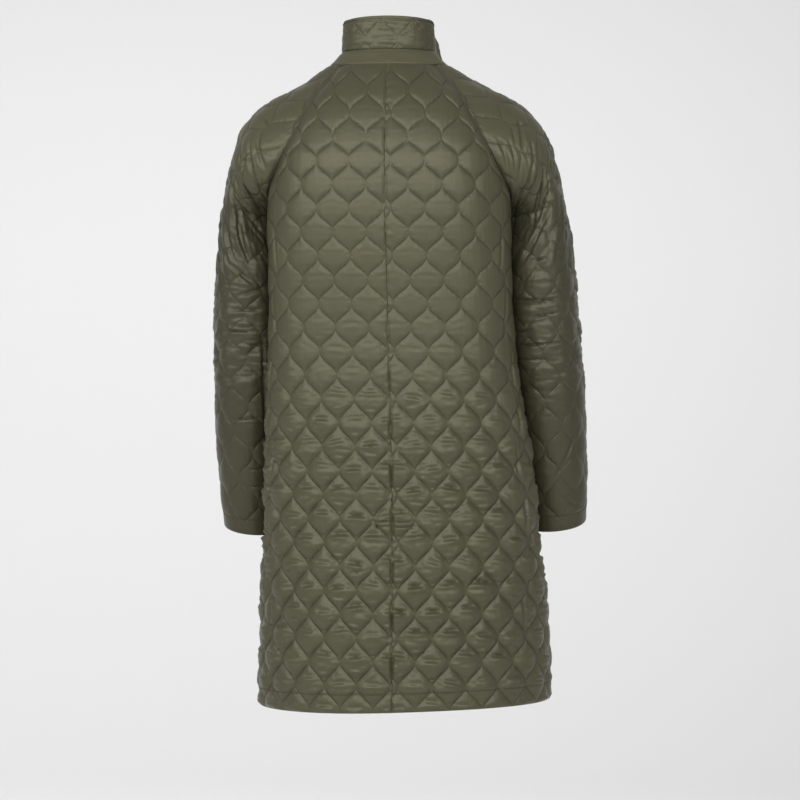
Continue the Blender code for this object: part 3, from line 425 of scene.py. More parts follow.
def column_lengths(points):
    """Length along each column from the top row, and what is left of it."""
    steps = np.linalg.norm(np.diff(points, axis=0), axis=2)
    above = np.concatenate([np.zeros((1, points.shape[1])), np.cumsum(steps, axis=0)])
    return above, above[-1] - above


def slant(length, down):
    """How much shorter the way to a slanted edge is than the way along a row."""
    return 1.0 / np.sqrt(1.0 + (np.gradient(length) / np.gradient(down)) ** 2)


def body_grid(side, front, spacing):
    """Half of the back or of the front. Each row runs from the centre line to the raglan seam or
    the side seam, at even lengths, and the rows blend from the neck seam to the hem."""
    table = FRONT_RAGLAN if front else BACK_RAGLAN

    def height(share, angle):
        top = neck_height(angle) if front else 0.0 * angle
        return top + share * (hem_height(angle) - top)

    edge = side * SIDE_ANGLE
    top = float(height(0.0, np.array(edge)))
    split = (UNDERARM - top) / (float(hem_height(edge)) - top)
    span = abs(HEM)
    upper = spread(span * split, spacing) * split
    lower = split + (1.0 - split) * spread(span * (1.0 - split), spacing)
    rows = np.concatenate([upper[:-3], [split], lower[3:]])
    outer = np.full_like(rows, edge)
    for _ in range(30):
        z = height(rows, outer)
        outer = np.where(rows < split, side * np.radians(table("angle", z)), edge)
    inner = np.zeros_like(rows)
    if front:
        inner = np.full_like(rows, side * math.pi)
        for _ in range(10):
            inner = lap_angle(height(rows, inner), side)
    samples = np.linspace(0.0, 1.0, 401)
    angle = inner[:, None] + (outer - inner)[:, None] * samples
    line = body_point(angle, height(rows[:, None], angle))
    widest = np.linalg.norm(np.diff(line, axis=1), axis=2).sum(axis=1).max()
    columns = spread(widest, spacing)
    where, wanted, length = even_rows(line, columns)
    angle = np.interp(wanted, where, angle.ravel())
    z = height(rows[:, None], angle)
    points = body_point(angle, z)
    normals = body_normal(angle, z)
    start = -OVERLAP if front else 0.0
    distance = start + columns * length[:, None]
    if front:
        points = points + normals * lap(distance, side)[..., None]
    above, below = column_lengths(points)
    shorter = slant(length, rows * span)[:, None]
    right = (1.0 - columns) * length[:, None] * shorter
    return Grid(points, normals, distance, z, distance - start, right, above, below)


# --- The sleeve form --------------------------------------------------------------------------
def raglan(table, way, samples=241):
    """Points and normals of a raglan seam from the neck to the underarm, at even lengths."""
    start = 0.0
    for _ in range(20):
        start = float(neck_height(np.radians(table("angle", start))))
    height = np.linspace(start, UNDERARM, 1200)
    angle = way * np.radians(table("angle", height))
    path = body_point(angle, height)
    length = np.concatenate([[0.0], np.cumsum(np.linalg.norm(np.diff(path, axis=0), axis=1))])
    place = np.linspace(0.0, length[-1], samples)
    angle = np.interp(place, length, angle)
    height = np.interp(place, length, height)
    return body_point(angle, height), body_normal(angle, height)


def overarm(level, side):
    """Points of the overarm line."""
    out = OVERARM("out_left" if side > 0 else "out_right", level)
    top = OVERARM("top", level) - max(side, 0) * OVERARM("longer", level)
    return np.stack([side * out, OVERARM("middle", level), top], axis=-1)


def underarm(level, side):
    """Points of the underarm line, for levels below the armhole."""
    inner = overarm(level, side).copy()
    inner[..., 0] -= side * INNER_ARM("width_left" if side > 0 else "width_right", level)
    inner[..., 2] -= INNER_ARM("drop", level)
    return inner


def half_sections(level, side, seam, way):
    """Half sections as cubic curves: out along Y from the overarm point, and in to the seam or
    the underarm point along a direction that turns from sideways to front and back."""
    points, normals = seam
    over = overarm(level, side)
    dip = OVERARM("dip", level)
    along_y = way * np.stack([0.0 * dip, 0.0 * dip + 1.0, -dip], axis=-1)
    place = np.clip(level, 0.0, 1.0) * (len(points) - 1)
    knots = np.arange(len(points))
    end = np.stack([np.interp(place, knots, points[:, i]) for i in range(3)], axis=-1)
    outward = unit(np.cross(np.gradient(points, axis=0), normals))
    outward = outward * np.sign(outward[:, :1] * side + 1e-9)
    leave = np.stack([np.interp(place, knots, outward[:, i]) for i in range(3)], axis=-1)
    wrap = OVERARM("wrap", level)[:, None]
    crease = np.array([float(side), 0.0, 0.0]) * (1.0 - wrap) + along_y * wrap
    leave = unit(leave + (unit(crease) - leave) * smoothstep((level[:, None] - 0.3) / 0.4))
    below = smoothstep((level - 1.0) / 0.15)[:, None]
    start = underarm(np.array([1.0]), side)[0]
    lower = underarm(np.maximum(level, 1.0), side) + (points[-1] - start) * (1.0 - below)
    end = np.where(level[:, None] > 1.0, lower, end)
    reach = OVERARM("reach", level)[:, None]
    seam_reach = OVERARM("seam_reach", level)[:, None]
    handles = [over, over + along_y * reach, end + leave * seam_reach, end]
    t = np.linspace(0.0, 1.0, 121)[None, :, None]
    weights = [(1 - t) ** 3, 3 * t * (1 - t) ** 2, 3 * t**2 * (1 - t), t**3]
    return sum(w * h[:, None, :] for w, h in zip(weights, handles))


def sleeve_grid(side, spacing):
    """A raglan sleeve. Each row runs from its front seam over the arm to its back seam."""
    fine = np.linspace(0.0, 2.0, 2001)
    over = overarm(fine, side)
    run = np.concatenate([[0.0], np.cumsum(np.linalg.norm(np.diff(over, axis=0), axis=1))])
    split = np.interp(1.0, fine, run)
    total = run[-1]
    upper = spread(split, spacing) * split
    lower = split + (total - split) * spread(total - split, spacing)
    along = np.concatenate([upper[:-3], [split], lower[3:]])
    level = np.interp(along, run, fine)
    back = half_sections(level, side, raglan(BACK_RAGLAN, side), 1)
    front = half_sections(level, side, raglan(FRONT_RAGLAN, side), -1)
    line = np.concatenate([front[:, ::-1], back[:, 1:]], axis=1)
    widest = np.linalg.norm(np.diff(line, axis=1), axis=2).sum(axis=1).max()
    columns = spread(widest, spacing)
    where, wanted, length = even_rows(line, columns)
    points = np.stack([np.interp(wanted, where, line[..., i].ravel()) for i in range(3)], axis=-1)
    front_length = np.linalg.norm(np.diff(front, axis=1), axis=2).sum(axis=1)[:, None]
    around = columns * length[:, None] - front_length
    across = np.gradient(points, axis=1)
    down = np.gradient(points, axis=0)
    normals = unit(np.cross(down, across)) * side
    above, below = column_lengths(points)
    cap = slant(length / 2, along)[:, None]
    left = columns * length[:, None] * cap
    right = (1.0 - columns) * length[:, None] * cap
    down_flat = np.broadcast_to(along[:, None], around.shape)
    grid = Grid(points, normals, around, down_flat, left, right, above, below)
    grid.split = split
    return grid


# --- The quilting -----------------------------------------------------------------------------
def quilt_cell(x, y, start, row, width, height, shares):
    """Where a point lies in the quilting. The stitch lines are upright waves, each touching its
    neighbours in turn, so that a cell's half width is half of one minus or plus the wave of its
    height, a cosine with a share of its third overtone. Returns the share of the cell's half
    width at this height, the place across it from -1 to 1, the place up it, the cell's
    whole-number address, the distance to the nearest line and how upright that line is."""
    edge = shares[0] + (shares[1] - shares[0]) * smoothstep((SHARE_FROM - y) / SHARE_OVER)
    p = (x - start) / (width / 2)
    q = (y - row) / (height / 2)
    strip = np.floor(p)
    parity = 1.0 - 2.0 * np.mod(strip, 2.0)
    turn = math.pi * q
    curve = (np.cos(turn) + edge * np.cos(3.0 * turn)) / (1.0 + edge)
    steep = (np.sin(turn) + 3.0 * edge * np.sin(3.0 * turn)) / (1.0 + edge)
    wave = 0.5 - 0.5 * parity * curve
    beyond = (p - strip) > wave
    column = strip + beyond
    half = np.where(beyond, 1.0 - wave, wave)
    odd = np.mod(column + 1.0, 2.0)
    level = 2.0 * np.round((q - odd) / 2.0) + odd
    slope = np.sqrt(1.0 + (steep * math.pi * width / height / 2.0) ** 2)
    away = (half - np.abs(p - column)) * (width / 2) / slope
    upright = smoothstep((slope**-2 - 0.5) / 0.45)
    return half, (p - column) / np.maximum(half, 1e-4), q - level, column, level, away, upright


def dent(up, across, place, aside, thick, wide):
    """A level fold in a cell: a trough above a ridge, dying out towards the sides."""
    ends = np.exp(-((across - aside) / wide) ** 4)
    ridge = 0.7 * bell((up - place + 1.9 * thick) / (1.1 * thick))
    return ends * (ridge - bell((up - place) / thick))


def quilt_rise(x, y, start, row, shares, sizes, seed, rough, dome):
    """Height of the padding: in each cell a steep bank beside the stitches and a crown, uneven
    from cell to cell, with level folds where the cloth is slack. 'rough' from 0 to 1 tells how
    slack it is, and 'dome' how much of the rise is a crown that hangs low in its cell."""
    half, across, up, column, level, away, upright = quilt_cell(
        x, y, start, row, sizes.quilt_width, sizes.quilt_height, shares)

    def draw(number):
        return chance(column, level, seed + number)

    crown = np.clip(1.0 - across**2, 0.0, 1.0)
    bank = LOWER_BANK + (UPPER_BANK - LOWER_BANK) * smoothstep((up + 0.4) / 0.8)
    bank = 1.0 - np.exp(-away / (bank * (1.0 + 1.4 * upright)))
    hang = half**0.8 * crown**0.6 * (1.0 - 0.50 * up)
    rise = bank * (0.62 * (1.0 - dome) + (0.30 + dome) * hang) * (0.84 + 0.24 * draw(0))
    middle = across * half
    tilt = (draw(3) - 0.5) * 0.22 * middle + 0.05 * middle**2
    slack = rough * (0.25 + 0.75 * draw(7))
    main = dent(up + tilt, middle, 0.44 - 0.30 * draw(5), 0.2 * (draw(9) - 0.5), 0.085, 0.42)
    second = dent(up - tilt, middle, -0.20 - 0.22 * draw(11), 0.3 * (draw(13) - 0.5), 0.060, 0.34)
    tip = dent(up, middle, -0.74 + 0.10 * draw(15), 0.0, 0.050, 0.20)
    inside = smoothstep(away / 0.005)
    rise += inside * slack * (0.72 * main + 0.30 * second * (draw(17) > 0.45))
    rise += inside * (0.04 + (0.16 + 0.26 * draw(19)) * rough) * tip
    crushed = crumple(x / 0.024, y / 0.010, seed + 11) - 0.25
    return sizes.puff * (rise + 0.40 * rough * crushed * inside)


def puckers(along, away, pitch, reach, seed):
    """Short creases square to a seam: uneven ridges along it that die out away from it."""
    wander = 0.35 * noise(away / (reach * 0.5), along / (pitch * 3.0), seed + 2)
    wave = noise(along / pitch + wander, 0.5, seed)
    length = reach * (0.55 + 0.45 * noise(along / (pitch * 2.5), 0.0, seed + 4))
    return wave * bell(away / np.maximum(length, reach * 0.2)) * smoothstep(away / 0.0012)


# --- Meshes -----------------------------------------------------------------------------------
def rolled(distance, size=1.0):
    """How deep cloth has rolled down by its distance from an edge: a quarter round."""
    share = np.clip(1.0 - distance / (SEAM_ROLL * size), 0.0, 1.0)
    return size * SEAM_DEPTH * (1.0 - np.sqrt(1.0 - share**2))


def coarse(count):
    """Numbers of the points that the inner side keeps, the first and the last included."""
    kept = np.arange(0, count, INNER_STEP)
    return np.append(kept[:-1] if count - 1 - kept[-1] < 2 else kept, count - 1)


def shell(name, grid, rise, wall, mirrored, materials):
    """A closed shell: the fine outer side, its base points moved out by 'rise', a plain inner
    side moved in by 'wall', and a rim of one face for each inner step. 'mirrored' says which
    way the grid's rows and columns turn, so that all faces point outwards."""
    outer = grid.points + grid.normals * rise[..., None]
    rows, columns = rise.shape
    r, c = coarse(rows), coarse(columns)
    under = (grid.points - grid.normals * wall[..., None])[np.ix_(r, c)]
    flat = np.stack([grid.x, grid.y], axis=-1)
    points = np.concatenate([outer.reshape(-1, 3), under.reshape(-1, 3)])
    number = np.arange(rows * columns).reshape(rows, columns)
    inner = rows * columns + np.arange(len(r) * len(c)).reshape(len(r), len(c))

    def cells(n):
        return np.stack([n[:-1, :-1], n[1:, :-1], n[1:, 1:], n[:-1, 1:]], axis=-1).reshape(-1, 4)

    top = cells(number)
    low = cells(inner)[:, ::-1]
    rim = []
    for fine, kept, thick in ((number[0], c, inner[0]), (number[:, -1], r, inner[:, -1]),
                              (number[-1, ::-1], (columns - 1 - c)[::-1], inner[-1, ::-1]),
                              (number[::-1, 0], (rows - 1 - r)[::-1], inner[::-1, 0])):
        rim += [[thick[i + 1], thick[i], *fine[a:b + 1]]
                for i, (a, b) in enumerate(zip(kept[:-1], kept[1:]))]
    faces = top.tolist() + low.tolist() + rim
    if not mirrored:
        faces = [f[::-1] for f in faces]
    mesh = bpy.data.meshes.new(name)
    mesh.from_pydata(points, [], faces)
    corner = np.empty(len(mesh.loops), dtype=np.int32)
    mesh.loops.foreach_get("vertex_index", corner)
    for layer, values in (("Flat", flat), ("Shade distances", grid.shade_distances())):
        values = np.concatenate([values.reshape(-1, 2), values[np.ix_(r, c)].reshape(-1, 2)])
        uv = mesh.uv_layers.new(name=layer)
        uv.data.foreach_set("uv", values[corner].astype(np.float32).ravel())
    kind = np.zeros(len(faces), dtype=np.int32)
    kind[len(top):] = 1
    mesh.polygons.foreach_set("material_index", kind)
    mesh.polygons.foreach_set("use_smooth", np.ones(len(faces), dtype=bool))
    for material in materials:
        mesh.materials.append(material)
    mesh.set_sharp_from_angle(angle=math.radians(55.0))
    mesh.validate()
    mesh.update()
    piece = bpy.data.objects.new(name, mesh)
    bpy.context.scene.collection.objects.link(piece)
    return piece, outer


STITCH_LENGTH = 0.0030
STITCH_STEP = 0.0036
STITCH_WIDTH = 0.00055


def stitches(name, path, normals, material):
    """A row of thread stitches on a line: for each one a lozenge of two five-sided rings and two
    tips, stretched along the line and laid on the cloth."""
    steps = np.linalg.norm(np.diff(path, axis=0), axis=1)
    length = np.concatenate([[0.0], np.cumsum(steps)])
    count = int(length[-1] / STITCH_STEP)
    middle = (np.arange(count) + 0.5) * STITCH_STEP

    def read(values, at):
        return np.stack([np.interp(at, length, values[:, i]) for i in range(3)], axis=-1)

    centre = read(path, middle)
    ahead = unit(read(path, middle + 0.001) - read(path, middle - 0.001))
    up = unit(read(normals, middle))
    across = unit(np.cross(up, ahead))
    turn = np.arange(5) * 2.0 * math.pi / 5
    ring = np.stack([0.0 * turn, np.cos(turn), np.sin(turn)], axis=-1)
    first, second = ring.copy(), ring.copy()
    first[:, 0], second[:, 0] = -0.30, 0.30
    shape = np.concatenate([[[-0.5, 0.0, -0.9]], first, second, [[0.5, 0.0, -0.9]]])
    shape = shape * np.array([STITCH_LENGTH, STITCH_WIDTH, STITCH_WIDTH * 0.8])
    points = (centre[:, None] + shape[None, :, :1] * ahead[:, None]
              + shape[None, :, 1:2] * across[:, None] + shape[None, :, 2:] * up[:, None])
    one = []
    for i in range(5):
        j = (i + 1) % 5
        one += [[0, 1 + j, 1 + i, 1 + i], [1 + i, 1 + j, 6 + j, 6 + i], [11, 6 + i, 6 + j, 6 + j]]
    one = np.array(one)
    all_faces = (one[None] + 12 * np.arange(count)[:, None, None]).reshape(-1, 4)
    faces = [f[:3] if f[2] == f[3] else f for f in all_faces.tolist()]
    mesh = bpy.data.meshes.new(name)
    mesh.from_pydata(points.reshape(-1, 3), [], faces)
    mesh.polygons.foreach_set("use_smooth", np.ones(len(faces), dtype=bool))
    mesh.materials.append(material)
    mesh.update()
    piece = bpy.data.objects.new(name, mesh)
    bpy.context.scene.collection.objects.link(piece)
    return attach(piece, "root")


# --- Materials --------------------------------------------------------------------------------
class Value:
    """A socket that carries a number, on which Python's operators add Math nodes."""

    def __init__(self, tree, socket):
        self.tree = tree
        self.socket = socket

    def math(self, operation, *others):
        """One Math node on this value and others."""
        sockets = {i: v for i, v in enumerate((self, *others))}
        node = self.tree.node("ShaderNodeMath", {"operation": operation}, sockets)
        return Value(self.tree, node.outputs[0])

    def __add__(self, other):
        return self.math("ADD", other)

    __radd__ = __add__

    def __mul__(self, other):
        return self.math("MULTIPLY", other)

    __rmul__ = __mul__

    def __sub__(self, other):
        return self.math("SUBTRACT", other)

    def __rsub__(self, other):
        return (self * -1.0) + other

    def __truediv__(self, other):
        return self.math("DIVIDE", other)

    def __rtruediv__(self, other):
        return (self ** -1.0) * other

    def __pow__(self, other):
        return self.math("POWER", other)

    def __gt__(self, other):
        return self.math("GREATER_THAN", other)

    def smooth(self, low, high):
        """0 at low, 1 at high, with an S-curve between."""
        settings = {"interpolation_type": "SMOOTHSTEP"}
        node = self.tree.node("ShaderNodeMapRange", settings, {0: self, 1: low, 2: high})
        return Value(self.tree, node.outputs[0])


class Shader:
    """A material's node tree with a Principled shader and the means to add nodes to it."""

    def __init__(self, name, roughness, specular=0.5, sheen=0.0):
        self.material = bpy.data.materials.new(name)
        self.material.use_nodes = True
        self.nodes = self.material.node_tree.nodes
        self.links = self.material.node_tree.links
        self.surface = self.nodes["Principled BSDF"]
        self.surface.inputs["Roughness"].default_value = roughness
        self.surface.inputs["Specular IOR Level"].default_value = specular
        self.surface.inputs["Sheen Weight"].default_value = sheen
        self.surface.inputs["Sheen Roughness"].default_value = 0.4

    def node(self, kind, settings=None, sockets=None):
        """Add a node: its settings first, then the values or links of its sockets."""
        node = self.nodes.new(kind)
        for key, value in (settings or {}).items():
            setattr(node, key, value)
        for key, value in (sockets or {}).items():
            self.put(node.inputs[key], value)
        return node

    def put(self, socket, value):
        """Set a socket to a value, or link it to one."""
        if isinstance(value, Value):
            value = value.socket
        if isinstance(value, bpy.types.NodeSocket):
            self.links.new(value, socket)
        else:
            socket.default_value = value

    def parts(self, vector):
        """The three numbers of a vector."""
        node = self.node("ShaderNodeSeparateXYZ", None, {0: vector})
        return [Value(self, out) for out in node.outputs]

    def vector(self, x, y, z):
        """A vector of three numbers."""
        return self.node("ShaderNodeCombineXYZ", None, {0: x, 1: y, 2: z}).outputs[0]

    def noise(self, vector, scale, detail=2.0, rough=0.5):
        """Blender's noise at a scale, from 0 to 1."""
        sockets = {"Vector": vector, "Scale": scale, "Detail": detail, "Roughness": rough}
        return Value(self, self.node("ShaderNodeTexNoise", None, sockets).outputs[0])

    def mix(self, factor, first, second):
        """A colour between two others."""
        settings = {"data_type": "RGBA"}
        node = self.node("ShaderNodeMix", settings, {0: factor, 6: first, 7: second})
        return node.outputs[2]

    def bump(self, height, distance, strength=1.0):
        """Turn a height in units of 'distance' into the surface's normal."""
        sockets = {"Height": height, "Distance": distance, "Strength": strength}
        node = self.node("ShaderNodeBump", None, sockets)
        self.links.new(node.outputs[0], self.surface.inputs["Normal"])


def shade(colour, factor):
    """A colour made lighter or darker, with its alpha."""
    return (*(channel * factor for channel in colour[:3]), 1.0)


def cloth_material(name, sizes, tone, start=0.0, row=0.0, shares=None, line=0.75,
                   painted_shade_below_cap=1.0):
    """Satin-woven nylon: faint streaks run down it, and the weave is a fine even grain. Where it
    is quilted, 'shares' given, the stitch lines are sunk in its bump and darkened with painted
    shade, as much as 'line' gives, and short puckers run from them into each cell. Shade is
    painted along the upper raglan seams and under the collar's leaf, and a sleeve has painted
    shade below its cap, where it turns darker."""
    shader = Shader(name, 0.36, specular=sizes.shine, sheen=0.05)
    shader.surface.inputs["Specular Tint"].default_value = shade(sizes.shine_colour, 1.0)
    flat = shader.node("ShaderNodeUVMap", {"uv_map": "Flat"}).outputs[0]
    x, y, _ = shader.parts(flat)
    position = shader.node("ShaderNodeTexCoord").outputs["Object"]
    cloudy = shader.noise(position, 9.0, 3.0)
    fine = shader.noise(position, 240.0, 3.0, 0.6)
    grain = shader.noise(shader.vector(x * 2600.0, y * 900.0, 0.0), 1.0, 1.0)
    streak = shader.noise(shader.vector(x * 150.0, y * 14.0, 0.0), 1.0, 2.0)
    colour = shade(sizes.colour, tone)
    base = shader.mix(cloudy.smooth(0.3, 0.7), shade(colour, 0.94), shade(colour, 1.05))
    # Painted shade: a sleeve's cloth turns darker below its cap, from 0.14 to 0.34 m down, for the
    # light its lower part doesn't catch.
    if painted_shade_below_cap != 1.0:
        lower = y.smooth(0.14, 0.34)
        base = shader.mix(lower * (1.0 - painted_shade_below_cap), base, (0.0, 0.0, 0.0, 1.0))
    height = (grain * 0.02) + (fine * 0.10) + (streak * 0.55)
    if shares:
        first, last = shares
        edge = (SHARE_FROM - y).smooth(0.0, SHARE_OVER) * (last - first) + first
        p = (x - start) / (sizes.quilt_width / 2)
        q = (y - row) / (sizes.quilt_height / 2)
        strip = p.math("FLOOR")
        parity = 1.0 - 2.0 * strip.math("FLOORED_MODULO", 2.0)
        turn = q * math.pi
        curve = (turn.math("COSINE") + (turn * 3.0).math("COSINE") * edge) / (edge + 1.0)
        steep = (turn.math("SINE") + (turn * 3.0).math("SINE") * edge * 3.0) / (edge + 1.0)
        wave = 0.5 - parity * curve * 0.5
        beyond = (p - strip) > wave
        column = strip + beyond
        half = wave + beyond * (1.0 - 2.0 * wave)
        fall = math.pi * sizes.quilt_width / sizes.quilt_height / 2
        slope = (steep * steep * fall**2 + 1.0).math("SQRT")
        away = (half - (p - column).math("ABSOLUTE")) * (sizes.quilt_width / 2) / slope
        odd = (column + 1.0).math("FLOORED_MODULO", 2.0)
        level = ((q - odd) / 2.0).math("ROUND") * 2.0 + odd
        up = (q - level) * (sizes.quilt_height / 2)
        side = (p - column) * (sizes.quilt_width / 2)
        angle = up.math("ARCTAN2", side)
        far = (up * up + side * side).math("SQRT")
        rays = shader.vector(angle * 3.4, far * 45.0, column * 3.7 + level * 1.9)
        ray = shader.noise(rays, 1.0, 2.0)
        near_stitch = 1.0 - away.smooth(0.0005, 0.0085)
        off_stitch = away.smooth(0.0002, 0.0022)
        height = height + (ray - 0.5) * near_stitch * off_stitch * 1.6
        groove_and_shade = 1.0 - away.smooth(0.0, 0.0020)
        upright = (1.0 / (slope * slope)).smooth(0.5, 0.95)
        groove_and_shade = groove_and_shade * (1.0 - upright * 0.7)
        height = height - groove_and_shade * 0.5
        # Painted shade: the sunk stitch lines are painted darker by 'line', most where they run
        # level across the top of a cell and least where they stand upright.
        base = shader.mix(groove_and_shade * line, base, shade(colour, 0.45))
    else:
        wrinkle = shader.noise(shader.vector(x * 40.0, y * 130.0, 0.3), 1.0, 3.0)
        height = height + wrinkle * 0.8
    # Painted shade: the cloth is darkened within about 11 mm of the upper raglan seams, in their
    # sunk band, and at the top of the collar's stand, under the leaf.
    shade_distances = shader.parts(shader.node("ShaderNodeUVMap", {"uv_map": "Shade distances"}).outputs[0])
    beside = 1.0 - shade_distances[0].smooth(0.001, 0.011)
    base = shader.mix(beside * 0.36, base, shade(colour, 0.40))
    shader.put(shader.surface.inputs["Base Color"], base)
    shader.put(shader.surface.inputs["Roughness"], fine * 0.08 + (sizes.roughness - 0.04))
    shader.bump(height, 0.0009)
    return shader.material


def plain_material(name, colour, roughness, scale, depth):
    """A plain material with faint mottling and a fine grain."""
    shader = Shader(name, roughness)
    position = shader.node("ShaderNodeTexCoord").outputs["Object"]
    mottled = shader.noise(position, scale, 3.0)
    base = shader.mix(mottled.smooth(0.3, 0.7), shade(colour, 0.85), shade(colour, 1.15))
    shader.put(shader.surface.inputs["Base Color"], base)
    shader.put(shader.surface.inputs["Roughness"], mottled * 0.12 + (roughness - 0.06))
    shader.bump(mottled, depth)
    return shader.material


# --- Settings ---------------------------------------------------------------------------------
class CoatSettings(bpy.types.PropertyGroup):
    """Sizes and colours of the coat."""

    quilt_width: FloatProperty(
        name="Quilt width", description="One repeat of the quilting across",
        default=0.0515, unit="LENGTH", min=0.02)
    quilt_height: FloatProperty(
        name="Quilt height", description="One repeat of the quilting up and down",
        default=0.072, unit="LENGTH", min=0.03)
    puff: FloatProperty(
        name="Padding", description="Rise of the padding in the middle of a quilted cell",
        default=0.0050, unit="LENGTH", min=0.0)
    wall: FloatProperty(
        name="Wall", description="Thickness of the cloth where it is stitched down",
        default=0.0024, unit="LENGTH", min=0.0005)
    back_spacing: FloatProperty(
        name="Back mesh step", description="Length of a mesh cell on the back",
        default=0.0020, unit="LENGTH", min=0.001)
    sleeve_spacing: FloatProperty(
        name="Sleeve mesh step", description="Length of a mesh cell on the sleeves",
        default=0.0022, unit="LENGTH", min=0.001)
    front_spacing: FloatProperty(
        name="Front mesh step", description="Length of a mesh cell on the fronts",
        default=0.0025, unit="LENGTH", min=0.001)
    colour: FloatVectorProperty(
        name="Cloth colour", description="Colour of the olive cloth",
        default=(0.088, 0.084, 0.048), subtype="COLOR", size=3, min=0.0, max=1.0)
    shine_colour: FloatVectorProperty(
        name="Shine colour", description="Tint of the cloth's satin shine",
        default=(1.0, 0.97, 0.74), subtype="COLOR", size=3, min=0.0, max=1.0)
    shine: FloatProperty(
        name="Shine", description="Strength of the cloth's satin shine",
        default=0.7, min=0.0, max=1.0)
    roughness: FloatProperty(
        name="Roughness", description="Spread of the cloth's satin shine",
        default=0.43, min=0.05, max=1.0)
    button_colour: FloatVectorProperty(
        name="Button colour", description="Colour of the dark buttons",
        default=(0.030, 0.028, 0.020), subtype="COLOR", size=3, min=0.0, max=1.0)


class StudioSettings(bpy.types.PropertyGroup):
    """The camera and lights round the coat."""

    azimuth: FloatProperty(
        name="Azimuth", description="Way the camera lies round the coat, from the front",
        default=math.radians(184.5), subtype="ANGLE")
    distance: FloatProperty(
        name="Distance", description="How far the camera stands from the coat",
        default=4.5, unit="LENGTH", min=1.0)
    height: FloatProperty(
        name="Height", description="Height of the camera above the neck seam",
        default=-0.36, unit="LENGTH")
    scale: FloatProperty(
        name="Scale", description="Length in the plane of the coat that one pixel covers",
        default=0.00155, unit="LENGTH", precision=6)
    key: FloatProperty(
        name="Key light", description="Power of the large light above the camera",
        default=163.0, unit="POWER", min=0.0)
    backdrop: FloatProperty(
        name="Backdrop light", description="Power of the light on the backdrop",
        default=42.0, unit="POWER", min=0.0)
    ambient: FloatProperty(
        name="Ambient light", description="Strength of the even light from all sides",
        default=0.30, min=0.0)
    floor: FloatProperty(
        name="Floor", description="Height of the studio floor",
        default=-1.45, unit="LENGTH")


def body_piece(name, side, front, sizes):
    """One half of the back or of the front. The height over its base surface is the quilted
    padding, rougher and fuller towards the hem, plus folds, times S-curves that lay it flat at
    the edges, less the sunk hem line, raglan band and rolled edges, plus puckers by each seam."""
    grid = body_grid(side, front, sizes.front_spacing if front else sizes.back_spacing)
    seed = 20 + (side > 0) + 2 * front
    low = smoothstep((-0.34 - grid.y) / 0.30)
    calm = 1.0 - 0.75 * smoothstep((0.075 - grid.right) / 0.035)
    start = QUILT_STARTS[side]
    shares = (UPPER_SHARE, LOWER_SHARE)
    rough = (0.12 + 0.88 * low) * calm
    rise = quilt_rise(grid.x, grid.y, start, QUILT_ROW, shares, sizes, seed, rough,
                      0.08 + 0.50 * low) * (0.52 + 0.63 * low * (0.6 + 0.4 * calm))
    rise += folds(grid.x, grid.y, BODY_FOLDS)
    outer_edge = np.minimum(grid.right, grid.above)
    raglan_near = smoothstep((grid.y - UNDERARM + 0.02) / 0.03)
    rise *= smoothstep(outer_edge / (SEAM_RISE + (RAGLAN_RISE - SEAM_RISE) * raglan_near))
    if front:
        flat = PLACKET + (0.0 if side > 0 else UNDER_LAP)
        rise *= smoothstep((grid.left - flat) / 0.010)
    else:
        rise *= 0.25 + 0.75 * smoothstep(grid.left / CENTRE_RISE)
    hem = 1.0 - 0.35 * smoothstep((HEM_DEPTH + 0.004 - grid.below) / 0.008)
    rise *= hem * smoothstep(grid.below / 0.006)
    rise -= 0.0011 * bell((grid.below - HEM_DEPTH) / 0.0016)
    centre = puckers(grid.y, grid.left, 0.0062, 0.012, seed)
    high = smoothstep((grid.points[..., 2] + 0.13) / 0.06)
    rise -= TROUGH_DEPTH * raglan_near * high * bell(grid.right / RAGLAN_TROUGH)
    raglan_pull = puckers(grid.y, grid.right, 0.0085, 0.016, seed + 31) * raglan_near
    side_pull = puckers(grid.y, grid.right, 0.0090, 0.012, seed + 37) * (1.0 - raglan_near)
    hem_pull = puckers(grid.x, np.abs(grid.below - HEM_DEPTH), 0.0065, 0.008, seed + 41)
    if front:
        rise += 0.0005 * puckers(grid.y, np.abs(grid.left - 0.008), 0.008, 0.010, seed + 43)
    else:
        rise += (0.0013 + 0.0007 * low) * centre
    rise += 0.0011 * raglan_pull + 0.0007 * side_pull + 0.0005 * hem_pull
    rise -= np.maximum(rolled(np.minimum(outer_edge, grid.below), 1.0 - 0.6 * raglan_near),
                       rolled(grid.left, 1.0 if front else 0.35))
    wall = sizes.wall + TURNED_EDGE * smoothstep((HEM_DEPTH - grid.below) / 0.008)
    # Painted shade along the upper raglan seam, in its sunk band.
    grid.shade_distance = grid.right + 0.05 * (1.0 - raglan_near)
    cloth = cloth_material("Cloth " + name, sizes, 1.0, start, QUILT_ROW, shares)
    inner = cloth_material("Inner side " + name, sizes, 0.9)
    piece, outer = shell(name, grid, rise, wall, (side > 0) == front, (cloth, inner))
    thread = bpy.data.materials.get("Thread")
    row = int(np.argmin(np.abs(grid.below[:, 0] - HEM_DEPTH)))
    lifted = outer + grid.normals * THREAD_LIFT
    lines = [("hem", lifted[row], grid.normals[row])]
    if front:
        column = int(np.argmin(np.abs(grid.left[0] - FRONT_STITCHING)))
        lines.append(("edge", lifted[:, column], grid.normals[:, column]))
    rows = [stitches(f"{name}_{what}_stitching", path, normals, thread)
            for what, path, normals in lines]
    return finish_cloth(piece, grid, name)


def finish_cloth(piece, grid, node):
    """Let a cloth piece ride and stand for its solid. It works out the size of its cut, which is
    not kept.
    """
    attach(piece, "root")
    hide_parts(node.replace("_cloth", ""))
    width = float(np.ptp(grid.x))
    length = float(np.maximum(grid.above[-1].max(), np.ptp(grid.y)))
    area = min(grid.area(), width * length)
    return piece


